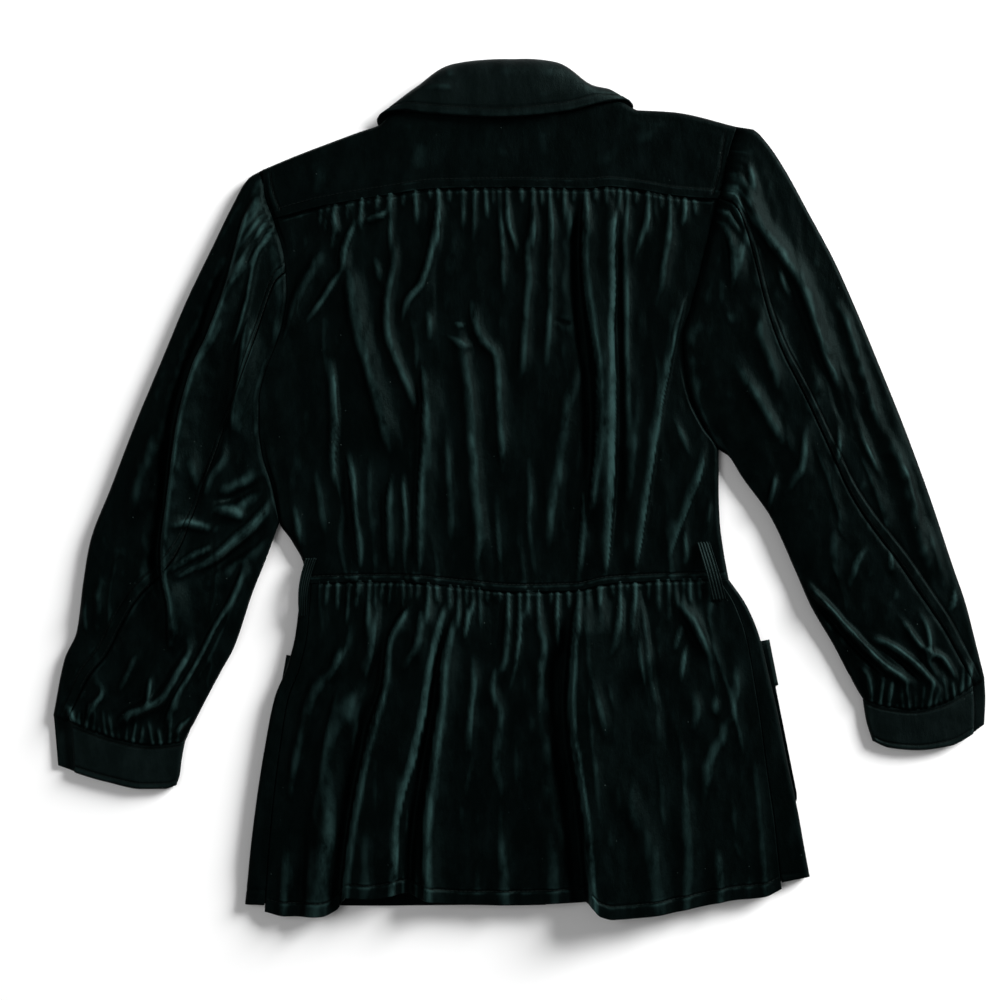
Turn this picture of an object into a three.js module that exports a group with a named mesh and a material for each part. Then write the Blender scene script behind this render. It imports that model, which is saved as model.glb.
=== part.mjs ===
// A velvet jacket laid flat on its front, seen from behind: yoke, gathered back, gathered peplum,
// full sleeves gathered into cuffs, shirt collar, patch pockets, belt loops and front buttons.
// Millimetres. X runs across the back to the wearer's right, Y up to the collar, Z up from the surface.
import * as THREE from "three";
import { mergeVertices } from "three/addons/utils/BufferGeometryUtils.js";

// Cloth and seams
const CLOTH = 2; // velvet, interlining and lining together
const SEAM_GAP = 0.3;
const LAYER = CLOTH + SEAM_GAP; // height of one cloth lying on another
const BACK_SEAT = LAYER + 0.25; // height at which the back's edge meets the front
const EDGE_RADIUS = 4.5; // the soft roll where cloth turns from back to front
const FINEST_FOLD = 3.4; // the narrowest flank that these sections can hold

// The jacket's main lines
const CENTRE = { x: -3, y: -85, lean: -0.03 }; // the centre front, which leans a little as it lies
const FRONT_LAP = 15; // each front passes the centre by this
const BODY_HALF_WIDTH = 195;
const YOKE_BAND = { wide: 10, rise: 1.2 }; // the stitched-down band along the yoke's lower edge
const YOKE_TURN = 0.08; // share of the yoke that turns down over the shoulders
const YOKE_TOP = { high: 11.5, neck: 9 }; // height along the shoulders, and of the edge under the collar
const NECK = { left: -128, right: 108, blend: 16 }; // where the yoke's edge lies under the collar
const BUTTON = { radius: 10, thick: 2.8, count: 5, first: 225, step: -66 };

// Height of the back at the middle, from the collar to the hem
const BACK_HEIGHT = [
  { y: 345, high: 13 }, { y: 300, high: 13 }, { y: 260, high: 13.5 }, { y: 180, high: 12.5 },
  { y: 80, high: 12 }, { y: 0, high: 12 }, { y: -60, high: 11.5 }, { y: -90, high: 11.5 },
  { y: -130, high: 14 }, { y: -220, high: 16 }, { y: -390, high: 15 },
];

// Outlines, each a row for a point where the line turns
const SHOULDER_LINE = [
  { x: -231, y: 287 }, { x: -200, y: 300 }, { x: -160, y: 315 }, { x: -128, y: 326 },
  { x: -100, y: 334 },
  { x: -60, y: 341 }, { x: -10, y: 344 }, { x: 45, y: 345 }, { x: 98, y: 341 }, { x: 140, y: 339 },
  { x: 197, y: 326 },
];
const YOKE_SEAM = [
  { x: -221, y: 241 }, { x: -180, y: 252 }, { x: -120, y: 262 }, { x: -75, y: 268 }, { x: 0, y: 269 },
  { x: 60, y: 268 }, { x: 80, y: 270 }, { x: 110, y: 267 }, { x: 140, y: 262 }, { x: 180, y: 259 },
];
const WAIST_SEAM = [
  { x: -196, y: -87 }, { x: -170, y: -86 }, { x: -140, y: -85 }, { x: -115, y: -85 },
  { x: -90, y: -86 },
  { x: -50, y: -90 }, { x: 0, y: -94 }, { x: 50, y: -93 }, { x: 80, y: -87 }, { x: 140, y: -84 },
  { x: 190, y: -83 },
];
const FRONT_TOP = [
  { x: -231, y: 287 }, { x: -200, y: 300 }, { x: -160, y: 315 }, { x: -122, y: 324 },
  { x: -110, y: 312 },
  { x: -93, y: 289 }, { x: -62, y: 265 }, { x: -12, y: 254 }, { x: 35, y: 264 }, { x: 66, y: 285 },
  { x: 86, y: 313 }, { x: 101, y: 334 }, { x: 140, y: 338 }, { x: 197, y: 326 },
];
const FRONT_WAIST = [
  { x: -196, y: -87 }, { x: -170, y: -86 }, { x: 0, y: -88 }, { x: 165, y: -83.6 }, { x: 190, y: -83 },
];
const LEFT_SIDE = [
  { x: -231, y: 287 }, { x: -229, y: 265 }, { x: -221, y: 241 }, { x: -211, y: 205 },
  { x: -209, y: 175 },
  { x: -212, y: 150 }, { x: -219, y: 128 }, { x: -229, y: 102 }, { x: -234, y: 78 }, { x: -234, y: 55 },
  { x: -231, y: 30 }, { x: -222, y: 0 }, { x: -216, y: -32 }, { x: -205, y: -48 }, { x: -194, y: -72 },
  { x: -196, y: -87 },
];
const RIGHT_SIDE = [
  { x: 197, y: 326 }, { x: 189, y: 300 }, { x: 186, y: 280 }, { x: 180, y: 259 }, { x: 172, y: 228 },
  { x: 163, y: 190 }, { x: 155, y: 160 }, { x: 148, y: 135 }, { x: 150, y: 108 }, { x: 156, y: 80 },
  { x: 168, y: 55 }, { x: 181, y: 34 }, { x: 181, y: 0 }, { x: 182, y: -30 }, { x: 185, y: -55 },
  { x: 190, y: -83 },
];
const PEPLUM_LEFT = [
  { x: -196, y: -87 }, { x: -199, y: -115 }, { x: -201, y: -132 }, { x: -208, y: -160 },
  { x: -220, y: -190 },
  { x: -228, y: -230 }, { x: -236, y: -280 }, { x: -241, y: -320 }, { x: -247, y: -376 },
];
const PEPLUM_RIGHT = [
  { x: 190, y: -83 }, { x: 205, y: -105 }, { x: 218, y: -137 }, { x: 226, y: -170 },
  { x: 234, y: -205 },
  { x: 243, y: -250 }, { x: 252, y: -292 }, { x: 257, y: -320 }, { x: 263, y: -351 },
];
const BACK_HEM = [
  { x: -247, y: -376 }, { x: -230, y: -382 }, { x: -210, y: -386 }, { x: -178, y: -386 },
  { x: -163, y: -380 },
  { x: -158, y: -371 }, { x: -155, y: -368 }, { x: -130, y: -369 }, { x: -105, y: -365 },
  { x: -80, y: -372 },
  { x: -50, y: -375 }, { x: 0, y: -375 }, { x: 60, y: -373 }, { x: 66, y: -377 }, { x: 73, y: -384 },
  { x: 85, y: -387 }, { x: 110, y: -386 }, { x: 160, y: -378 }, { x: 190, y: -372 },
  { x: 220, y: -369 },
  { x: 245, y: -358 }, { x: 263, y: -351 },
];
const FRONT_HEM = [
  { x: -247, y: -376 }, { x: -150, y: -378 }, { x: 0, y: -377 }, { x: 80, y: -374 },
  { x: 180, y: -366 },
  { x: 263, y: -351 },
];

// Each armhole runs from the shoulder to the underarm along its side of the body. Between them the back
// stays high, and above the row "held" it keeps the height that it has there.
const ARMHOLE = { left: { top: 287, under: -32 }, right: { top: 326, under: 34 }, high: 10, held: 245 };

// What lifts the fronts off the surface: how far from its middle each lift ends, and over what length
const BUTTON_LIFT = { ends: 55, over: 34 };
const COLLAR_LIFT = { middle: -12, ends: 172, over: 40, from: 205, rows: 36 };
const POCKET_LIFT = { level: 22, over: 38, back: 0.35 }; // back: the share that reaches the upper side
const LAP_LIFT = { starts: 41, over: 24 };

// The sleeves: edges seen from behind, then the seam into the cuff and the cuff's own edges
const SLEEVES = {
  left: {
    side: -1,
    outer: [
      { x: -231, y: 287 }, { x: -244, y: 279 }, { x: -258, y: 255 }, { x: -275, y: 220 },
      { x: -300, y: 168 },
      { x: -320, y: 120 }, { x: -345, y: 60 }, { x: -368, y: 0 }, { x: -387, y: -50 },
      { x: -393, y: -85 },
      { x: -399, y: -130 }, { x: -410, y: -155 }, { x: -420, y: -205 },
    ],
    inner: [
      { x: -216, y: -32 }, { x: -228, y: -65 }, { x: -240, y: -95 }, { x: -257, y: -145 },
      { x: -268, y: -165 },
      { x: -285, y: -197 }, { x: -301, y: -229 },
    ],
    cuffSeam: [
      { x: -301, y: -229 }, { x: -330, y: -232 }, { x: -360, y: -227 }, { x: -385, y: -219 },
      { x: -400, y: -213 }, { x: -420, y: -205 },
    ],
    cuffEnd: [
      { x: -309, y: -269 }, { x: -320, y: -272 }, { x: -340, y: -272 }, { x: -370, y: -266 },
      { x: -395, y: -259 }, { x: -416, y: -251 },
    ],
    cuffInner: [{ x: -301, y: -229 }, { x: -304, y: -245 }, { x: -306, y: -260 }, { x: -309, y: -269 }],
    cuffOuter: [{ x: -420, y: -205 }, { x: -418, y: -228 }, { x: -416, y: -251 }],
    backSeam: [
      { s: 0, a: 0.42 }, { s: 0.3, a: 0.12 }, { s: 0.5, a: 0.05 }, { s: 0.75, a: 0.4 }, { s: 1, a: 0.78 },
    ],
    cuffOpens: 0.72,
    headGap: 0.0025,
    gathers: [-388, -382, -376, -370, -364, -358, -352, -346, -340, -334, -328, -321, -314, -308],
  },
  right: {
    side: 1,
    outer: [
      { x: 197, y: 326 }, { x: 209, y: 325 }, { x: 222, y: 314 }, { x: 240, y: 288 },
      { x: 262, y: 248 },
      { x: 285, y: 205 }, { x: 303, y: 165 }, { x: 330, y: 100 }, { x: 350, y: 50 }, { x: 372, y: -10 },
      { x: 392, y: -70 }, { x: 404, y: -105 }, { x: 413, y: -140 }, { x: 421, y: -172 },
    ],
    inner: [
      { x: 181, y: 34 }, { x: 190, y: 28 }, { x: 203, y: 8 }, { x: 228, y: -27 }, { x: 250, y: -75 },
      { x: 264, y: -107 }, { x: 285, y: -143 }, { x: 300, y: -172 }, { x: 311, y: -191 },
    ],
    cuffSeam: [
      { x: 311, y: -191 }, { x: 330, y: -197 }, { x: 355, y: -200 }, { x: 380, y: -195 },
      { x: 400, y: -185 },
      { x: 421, y: -172 },
    ],
    cuffEnd: [
      { x: 320, y: -229 }, { x: 335, y: -235 }, { x: 360, y: -237 }, { x: 390, y: -233 },
      { x: 408, y: -224 },
      { x: 421, y: -214 },
    ],
    cuffInner: [{ x: 311, y: -191 }, { x: 314, y: -210 }, { x: 320, y: -229 }],
    cuffOuter: [{ x: 421, y: -172 }, { x: 422, y: -190 }, { x: 421, y: -214 }],
    backSeam: [
      { s: 0, a: 0.55 }, { s: 0.25, a: 0.2 }, { s: 0.5, a: 0.2 }, { s: 0.75, a: 0.45 }, { s: 1, a: 0.82 },
    ],
    cuffOpens: 0.8,
    headGap: 0.0014,
    gathers: [317, 325, 333, 340, 347, 353, 358, 363, 368, 375, 382, 388, 393, 399],
  },
};
const SLEEVE_HEIGHT = [
  { s: 0, high: 12 }, { s: 0.15, high: 14 }, { s: 0.5, high: 14.5 }, { s: 0.85, high: 12.5 },
  { s: 1, high: 9 },
];
const SLEEVE_EDGE = [{ s: 0, radius: 4.5 }, { s: 0.5, radius: 5 }, { s: 1, radius: 3.8 }];
const SLEEVE_HALF_WIDTH = { head: 150, cuff: 58 };
const CUFF = { radius: 3.6, high: 8.6, tabRise: 2, tabFrom: 2.75, tabLong: 0.25 };

// The lowest height that a trough may sink the cloth to, so that it stays off the cloth below
const FOLD_FLOOR = { bodice: 8, peplum: 9.5, sleeve: 6.5 };

// The collar's stations, from one front point round the back of the neck to the other.
// Each holds the outer edge, the roll line, the neck seam and the stand's upper edge.
const COLLAR = [
  { edge: [-88, 252, 0], roll: [-38, 286, 0], neck: [-40, 263, 2.6], inside: [-36, 284, 2.6] },
  { edge: [-108, 285, 0], roll: [-66, 305, 0], neck: [-72, 277, 2.6], inside: [-64, 303, 2.6] },
  { edge: [-124, 320, 0], roll: [-95, 336, 0.6], neck: [-98, 308, 3.2], inside: [-90, 331, 4.4] },
  { edge: [-127, 335, 8], roll: [-104, 350, 6.5], neck: [-106, 333, 6.4], inside: [-99, 343, 6] },
  { edge: [-108, 339, 16], roll: [-88, 364, 8], neck: [-96, 339, 8.6], inside: [-85, 357, 7.2] },
  { edge: [-75, 335, 17.5], roll: [-62, 381, 8.5], neck: [-60, 344.8, 9.4], inside: [-60, 376, 7] },
  { edge: [-15, 332, 18.5], roll: [-15, 386, 9], neck: [-12, 346.6, 9.6], inside: [-15, 381, 7.2] },
  { edge: [40, 337, 17.5], roll: [35, 383, 8.5], neck: [42, 348.4, 9.4], inside: [34, 378, 7] },
  { edge: [76, 346, 16], roll: [64, 364, 8], neck: [74, 347, 8.6], inside: [60, 358, 7.2] },
  { edge: [101, 349, 8], roll: [84, 358, 6.5], neck: [87, 344, 6.4], inside: [78, 350, 6] },
  { edge: [102, 334, 0], roll: [76, 344, 0.6], neck: [80, 322, 3.2], inside: [71, 339, 4.4] },
  { edge: [88, 298, 0], roll: [52, 314, 0], neck: [58, 288, 2.6], inside: [50, 312, 2.6] },
  { edge: [68, 260, 0], roll: [22, 289, 0], neck: [26, 268, 2.6], inside: [20, 287, 2.6] },
];
const COLLAR_BULGE = 5; // how far the fall stands off its straight line at the back
const STAND_CLOTH = 1.2; // the stand has no interlining

// Pockets on the peplum's fronts, each from its top outer corner
const POCKETS = {
  left: { x: -207, y: -152, along: [-0.17, -0.985], inward: [0.985, -0.17] },
  right: { x: 224, y: -138, along: [0.195, -0.981], inward: [-0.981, -0.195] },
};
const POCKET = { wide: 112, long: 155, flap: 42, overhang: 3, corner: 14 };

// Belt loops: the ends' corners as shares of the panels above and below the waist seam,
// and how far the middle stands off
const LOOP_SEAT = 0.6; // how far its ends stand off the panels
const BELT_LOOPS = {
  left: {
    above: [[0.012, 0.93], [0.036, 0.93]], below: [[0.2, 0.1], [0.05, 0.1]], arch: [-3, 0, 2],
    lowerOutward: 1,
  },
  right: {
    above: [[0.94, 0.9], [0.968, 0.9]], below: [[0.955, 0.065], [0.985, 0.065]], arch: [0.5, 0, 3.5],
    lowerOutward: -1,
  },
};

// Folds: how high they rise (or sink), how far each flank spreads to the left and right of the line,
// and the line itself from its upper end. Fades are the lengths over which a fold starts and ends.
const BODICE_FOLDS = [
  {
    rise: 5, left: 3.4, right: 17,
    line: [[-158, 42], [-152, 18], [-148, -12], [-145, -45], [-140, -86]],
  },
  {
    rise: 6, left: 6, right: 12,
    line: [[-155, 212], [-150, 160], [-142, 128], [-130, 88], [-118, 45]],
  },
  { rise: 5, left: 3.4, right: 14, line: [[-112, 30], [-117, -8], [-117, -40], [-115, -86]] },
  { rise: 4, left: 5, right: 5, line: [[-117, 165], [-115, 135], [-106, 110], [-95, 80], [-88, 48]] },
  {
    rise: 6, left: 3.4, right: 14,
    line: [[-92, 115], [-86, 90], [-85, 55], [-89, 5], [-90, -40], [-89, -87]],
  },
  { rise: 5, left: 4, right: 5, line: [[-72, 266], [-76, 230], [-82, 200], [-98, 172], [-108, 140]] },
  {
    rise: 5, left: 9, right: 8,
    line: [[-58, 150], [-48, 110], [-43, 60], [-41, 10], [-38, -40], [-37, -75]],
  },
  { rise: 3, left: 6, right: 6, line: [[-80, 125], [-66, 100], [-52, 68]] },
  { rise: 3, left: 5, right: 6, line: [[-39, 250], [-40, 225], [-35, 198], [-29, 172]] },
  {
    rise: 4, left: 6, right: 8,
    line: [[-43, 165], [-36, 135], [-21, 115], [-16, 80], [-16, 40], [-12, 0]],
  },
  { rise: 4.5, left: 7, right: 7, line: [[13, 262], [12, 215], [8, 180], [5, 140], [2, 100], [0, 74]] },
  { rise: 3.5, left: 6, right: 6, line: [[28, 262], [30, 220], [28, 180], [27, 130], [25, 95]] },
  { rise: 4, left: 10, right: 8, line: [[58, 110], [50, 80], [44, 40], [38, 0], [34, -45], [28, -75]] },
  {
    rise: 8, left: 3.4, right: 15,
    line: [[61, 266], [59, 205], [64, 155], [70, 115], [71, 50], [68, 15]],
  },
  {
    rise: 8, left: 15, right: 3.4,
    line: [[88, 266], [85, 205], [84, 130], [85, 70], [85, 10], [79, -87]],
  },
  { rise: -4, left: 7, right: 4, line: [[55, 250], [53, 200], [58, 130], [64, 70], [64, 20]] },
  { rise: -4, left: 4, right: 7, line: [[92, 250], [90, 170], [91, 90], [91, 20], [86, -50]] },
  { rise: 4, left: 3.4, right: 8, line: [[61, 10], [58, -25], [55, -60], [52, -92]] },
  { rise: 4, left: 4, right: 6, line: [[116, 262], [115, 245], [110, 220], [104, 198]] },
  { rise: 4, left: 6, right: 7, line: [[137, 258], [134, 232], [130, 195], [124, 160], [121, 125]] },
  {
    rise: 6, left: 16, right: 3.6,
    line: [[143, 138], [134, 106], [127, 75], [120, 25], [112, -30], [104, -85]],
  },
  { rise: 5, left: 12, right: 3.6, line: [[170, 38], [164, 12], [152, -20], [142, -45], [131, -72]] },
  {
    rise: 5, left: 5, right: 4,
    line: [[-142, 256], [-145, 238], [-156, 217], [-166, 188], [-192, 152]],
  },
  {
    rise: 5, left: 8, right: 9,
    line: [[-170, 226], [-179, 208], [-194, 178], [-206, 152], [-214, 128]],
  },
  { rise: 4, left: 9, right: 3.4, line: [[-174, 128], [-166, 110], [-164, 70], [-164, 38], [-160, 4]] },
  { rise: 4, left: 4, right: 6, line: [[-204, -8], [-200, -30], [-198, -52], [-191, -72]] },
  { rise: 3, left: 4, right: 5, line: [[-119, 262], [-120, 250], [-131, 243], [-142, 238]] },
  { rise: 3, left: 5, right: 5, line: [[-130, 216], [-122, 196], [-116, 178], [-118, 158]] },
  { rise: -4, left: 5, right: 4, line: [[-158, 206], [-164, 190], [-170, 172]] },
];
const PEPLUM_FOLDS = [
  {
    rise: 9, left: 3.6, right: 26,
    line: [[-110, -128], [-120, -170], [-130, -215], [-144, -275], [-157, -374]],
  },
  { rise: 5, left: 5, right: 6, line: [[-103, -92], [-99, -106], [-110, -126], [-118, -150]] },
  {
    rise: 9, left: 16, right: 14,
    line: [[-132, -150], [-150, -200], [-170, -235], [-174, -300], [-184, -386]],
  },
  { rise: 4, left: 5, right: 5, line: [[-133, -90], [-132, -115], [-131, -140], [-138, -168]] },
  {
    rise: 5, left: 10, right: 10,
    line: [[-156, -115], [-166, -155], [-187, -195], [-196, -235], [-212, -290]],
  },
  { rise: -5, left: 8, right: 7, line: [[-136, -215], [-148, -270], [-156, -320], [-162, -380]] },
  {
    rise: 5, left: 6, right: 6,
    line: [[-82, -93], [-89, -112], [-92, -135], [-104, -158], [-120, -178]],
  },
  {
    rise: 6, left: 20, right: 4,
    line: [[-54, -92], [-70, -125], [-80, -170], [-92, -225], [-103, -285], [-113, -366]],
  },
  {
    rise: 7, left: 4, right: 12,
    line: [[-48, -92], [-63, -130], [-68, -180], [-73, -235], [-79, -290], [-84, -372]],
  },
  {
    rise: -6, left: 5, right: 5,
    line: [[-60, -112], [-72, -150], [-81, -205], [-90, -265], [-97, -368]],
  },
  {
    rise: 4, left: 6, right: 7,
    line: [[-44, -110], [-42, -150], [-41, -185], [-48, -215], [-50, -255]],
  },
  {
    rise: 4, left: 7, right: 7,
    line: [[-10, -100], [-12, -140], [-26, -185], [-20, -225], [-19, -255], [-12, -285]],
  },
  { rise: 3, left: 3.4, right: 3.6, line: [[2, -95], [1, -130], [-3, -165], [-8, -187]] },
  { rise: 4, left: 6, right: 6, line: [[18, -96], [23, -130], [20, -170], [20, -215]] },
  { rise: 3, left: 4, right: 4, line: [[34, -96], [33, -115], [36, -160]] },
  {
    rise: 12, left: 4, right: 44,
    line: [[52, -120], [48, -185], [50, -225], [56, -275], [62, -335], [66, -380]],
  },
  { rise: -7, left: 13, right: 5, line: [[46, -135], [40, -185], [42, -235], [50, -300], [58, -380]] },
  { rise: 4, left: 5, right: 6, line: [[94, -96], [90, -122], [87, -142], [81, -158]] },
  { rise: 4, left: 6, right: 6, line: [[104, -90], [101, -118], [100, -150]] },
  {
    rise: 6, left: 5, right: 8,
    line: [[137, -87], [147, -108], [160, -130], [170, -148], [178, -164]],
  },
  {
    rise: 4, left: 8, right: 8,
    line: [[192, -165], [191, -195], [180, -226], [169, -252], [167, -285]],
  },
  { rise: 3, left: 7, right: 7, line: [[155, -160], [161, -195], [156, -228]] },
  { rise: 4, left: 14, right: 14, line: [[92, -262], [105, -300], [118, -340], [126, -386]] },
  { rise: 3.5, left: 8, right: 8, line: [[172, -315], [177, -345], [179, -374]] },
  { rise: 3, left: 9, right: 9, line: [[-14, -300], [-12, -335], [-10, -375]] },
  { rise: 3, left: 12, right: 12, line: [[-215, -320], [-211, -350], [-212, -386]] },
];
const SLEEVE_FOLDS = {
  left: [
    {
      rise: 7, left: 4.5, right: 16,
      line: [[-240, 256], [-257, 205], [-282, 130], [-301, 75], [-312, 0], [-318, -60], [-312, -120]],
    },
    {
      rise: -6, left: 8, right: 5,
      line: [[-254, 225], [-276, 155], [-302, 92], [-318, 5], [-325, -60], [-320, -110]],
    },
    { rise: 4, left: 5, right: 5, line: [[-236, 218], [-250, 190], [-266, 164]] },
    {
      rise: 6, left: 5, right: 9,
      line: [[-242, 160], [-249, 112], [-255, 70], [-256, 34], [-278, 5], [-286, -28]],
    },
    { rise: -6, left: 5, right: 5, line: [[-278, -13], [-255, -7], [-228, 6]] },
    {
      rise: 6, left: 6, right: 6,
      line: [[-226, -6], [-240, -33], [-266, -52], [-292, -64], [-316, -80]],
    },
    { rise: -6, left: 6, right: 8, line: [[-228, -32], [-248, -50], [-270, -68], [-292, -78]] },
    {
      rise: 6, left: 7, right: 6,
      line: [[-306, -118], [-300, -150], [-316, -182], [-346, -199], [-372, -218]],
    },
    { rise: 5, left: 5, right: 7, line: [[-244, -60], [-260, -106], [-284, -152], [-304, -186]] },
    { rise: -4, left: 4, right: 4, line: [[-262, -75], [-278, -125], [-296, -172]] },
    { rise: 4, left: 4, right: 5, line: [[-274, -172], [-298, -206], [-318, -229]] },
    { rise: 4, left: 4, right: 4, line: [[-375, -176], [-377, -194], [-390, -219]] },
    { rise: 4, left: 6, right: 7, line: [[-250, 266], [-266, 232], [-282, 200]] },
    { rise: 3, left: 8, right: 8, line: [[-318, 60], [-338, 10], [-352, -40]] },
  ],
  right: [
    {
      rise: 6, left: 6, right: 9,
      line: [[195, 292], [210, 250], [238, 208], [262, 158], [278, 105], [287, 78]],
    },
    { rise: 3.5, left: 5, right: 5, line: [[222, 226], [232, 198], [242, 165]] },
    { rise: 4, left: 4, right: 5, line: [[190, 282], [200, 245], [211, 205]] },
    { rise: 5, left: 4, right: 8, line: [[181, 256], [191, 220], [193, 195], [191, 168]] },
    { rise: 4, left: 8, right: 8, line: [[194, 128], [204, 102], [222, 70], [238, 40]] },
    { rise: 3.5, left: 8, right: 8, line: [[216, 135], [226, 108], [234, 86]] },
    { rise: 4, left: 6, right: 8, line: [[258, 62], [258, 30], [246, -4]] },
    { rise: 4, left: 5, right: 6, line: [[236, 22], [229, 0], [229, -25]] },
    {
      rise: 5, left: 9, right: 9,
      line: [[300, 142], [316, 82], [340, 30], [354, -24], [366, -64], [378, -94]],
    },
    { rise: 3.5, left: 4, right: 5, line: [[288, 94], [302, 60], [318, 25], [328, 6]] },
    {
      rise: 7, left: 6, right: 10,
      line: [[256, -80], [285, -113], [318, -139], [350, -161], [384, -188]],
    },
    { rise: -6, left: 7, right: 5, line: [[266, -104], [288, -128], [318, -150], [352, -172]] },
    { rise: 4, left: 4, right: 4, line: [[306, -143], [334, -168], [362, -186]] },
    {
      rise: 4, left: 4, right: 5,
      line: [[335, -111], [354, -139], [380, -153], [394, -170], [398, -188]],
    },
    { rise: 3.5, left: 4, right: 4, line: [[357, -106], [370, -138], [378, -170], [391, -191]] },
    { rise: 4, left: 6, right: 6, line: [[214, 320], [232, 294], [250, 262]] },
  ],
};

// Gathers: where each one leaves its seam, how long it runs and how high it stands
const YOKE_GATHERS = [
  [-177, 22, 2], [-171, 30, 2.4], [-165, 48, 2.6], [-151, 24, 2], [-142, 36, 3], [-135, 14, 2], [-127, 20, 2.2],
  [-118, 16, 2.2], [-113, 60, 2.4], [-103, 16, 2], [-93, 34, 2.6], [-80, 14, 2], [-72, 70, 3], [-61, 16, 2],
  [-50, 44, 2.4], [-39, 60, 2.4], [-31, 34, 2.4], [-24, 24, 2], [-14, 100, 2.4], [-9, 50, 2.8], [2, 18, 2],
  [13, 70, 2.8], [21, 24, 2], [28, 80, 2.8], [36, 16, 2], [43, 44, 2.6], [50, 16, 2], [61, 60, 2.4],
  [69, 16, 2.4], [76, 20, 2], [88, 60, 2.6], [95, 90, 2.4], [105, 16, 2], [117, 50, 2.8], [122, 30, 2],
  [131, 14, 2], [137, 50, 2.8], [148, 22, 2.4],
];
const WAIST_GATHERS = [
  [-188, 30, 2.6], [-178, 34, 2.4], [-170, 26, 2.4], [-162, 30, 2.4], [-152, 50, 2.4], [-145, 30, 2],
  [-140, 50, 2.4], [-133, 60, 2.8], [-126, 22, 2], [-120, 26, 2], [-114, 30, 2.2], [-108, 26, 2],
  [-101, 40, 3], [-92, 22, 2], [-82, 50, 3], [-75, 22, 2], [-64, 30, 2.4], [-56, 50, 3], [-48, 50, 3],
  [-40, 40, 2.6], [-30, 16, 2], [-20, 16, 2], [-10, 40, 2.6], [2, 70, 2.6], [8, 34, 2.4], [18, 50, 3],
  [28, 18, 2], [34, 54, 2.6], [43, 26, 2.4], [53, 60, 3], [62, 20, 2], [70, 26, 2.4], [76, 24, 2],
  [84, 18, 2], [93, 50, 3], [104, 60, 3], [113, 24, 2], [120, 34, 2.6], [129, 44, 2.6], [138, 60, 3],
  [146, 40, 2.4], [153, 26, 2.4], [160, 24, 2], [168, 30, 2], [180, 40, 2.4],
];
const HEAD_GATHERS = {
  left: [[279, 34], [272, 30], [266, 34], [260, 38], [253, 60], [246, 50], [236, 70]],
  right: [[318, 20], [311, 24], [303, 26], [296, 40], [289, 44], [282, 60], [275, 64], [266, 50], [257, 60]],
};
const GATHER = {
  flank: 3.4, lean: 0.006, fade: 0.8, aboveSeam: 4, cuffLong: 26, cuffRise: 2.2, headRise: 2.4,
};

// Curves through rows: a smooth value of one column against another, without overshoot
function through(rows, from, to) {
  const sorted = [...rows].sort((a, b) => a[from] - b[from]);
  const at = sorted.map((row) => row[from]);
  const value = sorted.map((row) => row[to]);
  const last = at.length - 1;
  const slope = at.slice(1).map((x, i) => (value[i + 1] - value[i]) / (x - at[i]));
  const tangent = at.map((_, i) => {
    if (i === 0) return slope[0];
    if (i === last) return slope[last - 1];
    const before = slope[i - 1];
    const after = slope[i];
    return before * after <= 0 ? 0 : (2 * before * after) / (before + after);
  });
  return (x) => {
    if (x <= at[0]) return value[0];
    if (x >= at[last]) return value[last];
    let i = 0;
    while (x > at[i + 1]) i += 1;
    const width = at[i + 1] - at[i];
    const t = (x - at[i]) / width;
    const keep = (1 + 2 * t) * (1 - t) * (1 - t);
    const gain = t * t * (3 - 2 * t);
    const lead = t * (1 - t) * (1 - t) * width * tangent[i];
    const trail = t * t * (1 - t) * width * tangent[i + 1];
    return keep * value[i] + gain * value[i + 1] + lead - trail;
  };
}

// A line that runs mostly across or mostly down, as a function of its share from first row to last
function lineAcross(rows) {
  const height = through(rows, "x", "y");
  const [first, last] = [rows[0].x, rows.at(-1).x];
  return (t) => ({ x: first + (last - first) * t, y: height(first + (last - first) * t) });
}

// The share of a row line between two places across
function lineBetween(rows, from, to) {
  const height = through(rows, "x", "y");
  return (t) => ({ x: mixed(from, to, t), y: height(mixed(from, to, t)) });
}

function lineDown(rows) {
  const place = through(rows, "y", "x");
  const [first, last] = [rows[0].y, rows.at(-1).y];
  return (t) => ({ x: place(first + (last - first) * t), y: first + (last - first) * t });
}

// The plan of a panel between four edges: t runs from left to right and v from top to bottom
function panelPlan(top, bottom, left, right) {
  const corner = [top(0), top(1), bottom(0), bottom(1)];
  const mix = (key, t, v, a, b, l, r) =>
    (1 - v) * a[key] + v * b[key] + (1 - t) * l[key] + t * r[key] -
    (1 - v) * ((1 - t) * corner[0][key] + t * corner[1][key]) -
    v * ((1 - t) * corner[2][key] + t * corner[3][key]);
  return (t, v) => {
    const edges = [top(t), bottom(t), left(v), right(v)];
    return { x: mix("x", t, v, ...edges), y: mix("y", t, v, ...edges) };
  };
}

const smooth = (x) => THREE.MathUtils.smoothstep(x, 0, 1);
const mixed = (a, b, t) => a + (b - a) * t;

// How far all the folds of a panel raise or sink its cloth at a point of the plan
function foldField(folds) {
  const lines = folds.map((fold) => {
    const curve = new THREE.SplineCurve(fold.line.map(([x, y]) => new THREE.Vector2(x, y)));
    const points = curve.getPoints((fold.line.length - 1) * 4);
    return { ...fold, points, length: curve.getLength() };
  });
  return (x, y) => lines.reduce((sum, fold) => sum + foldHeight(fold, x, y), 0);
}

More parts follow.
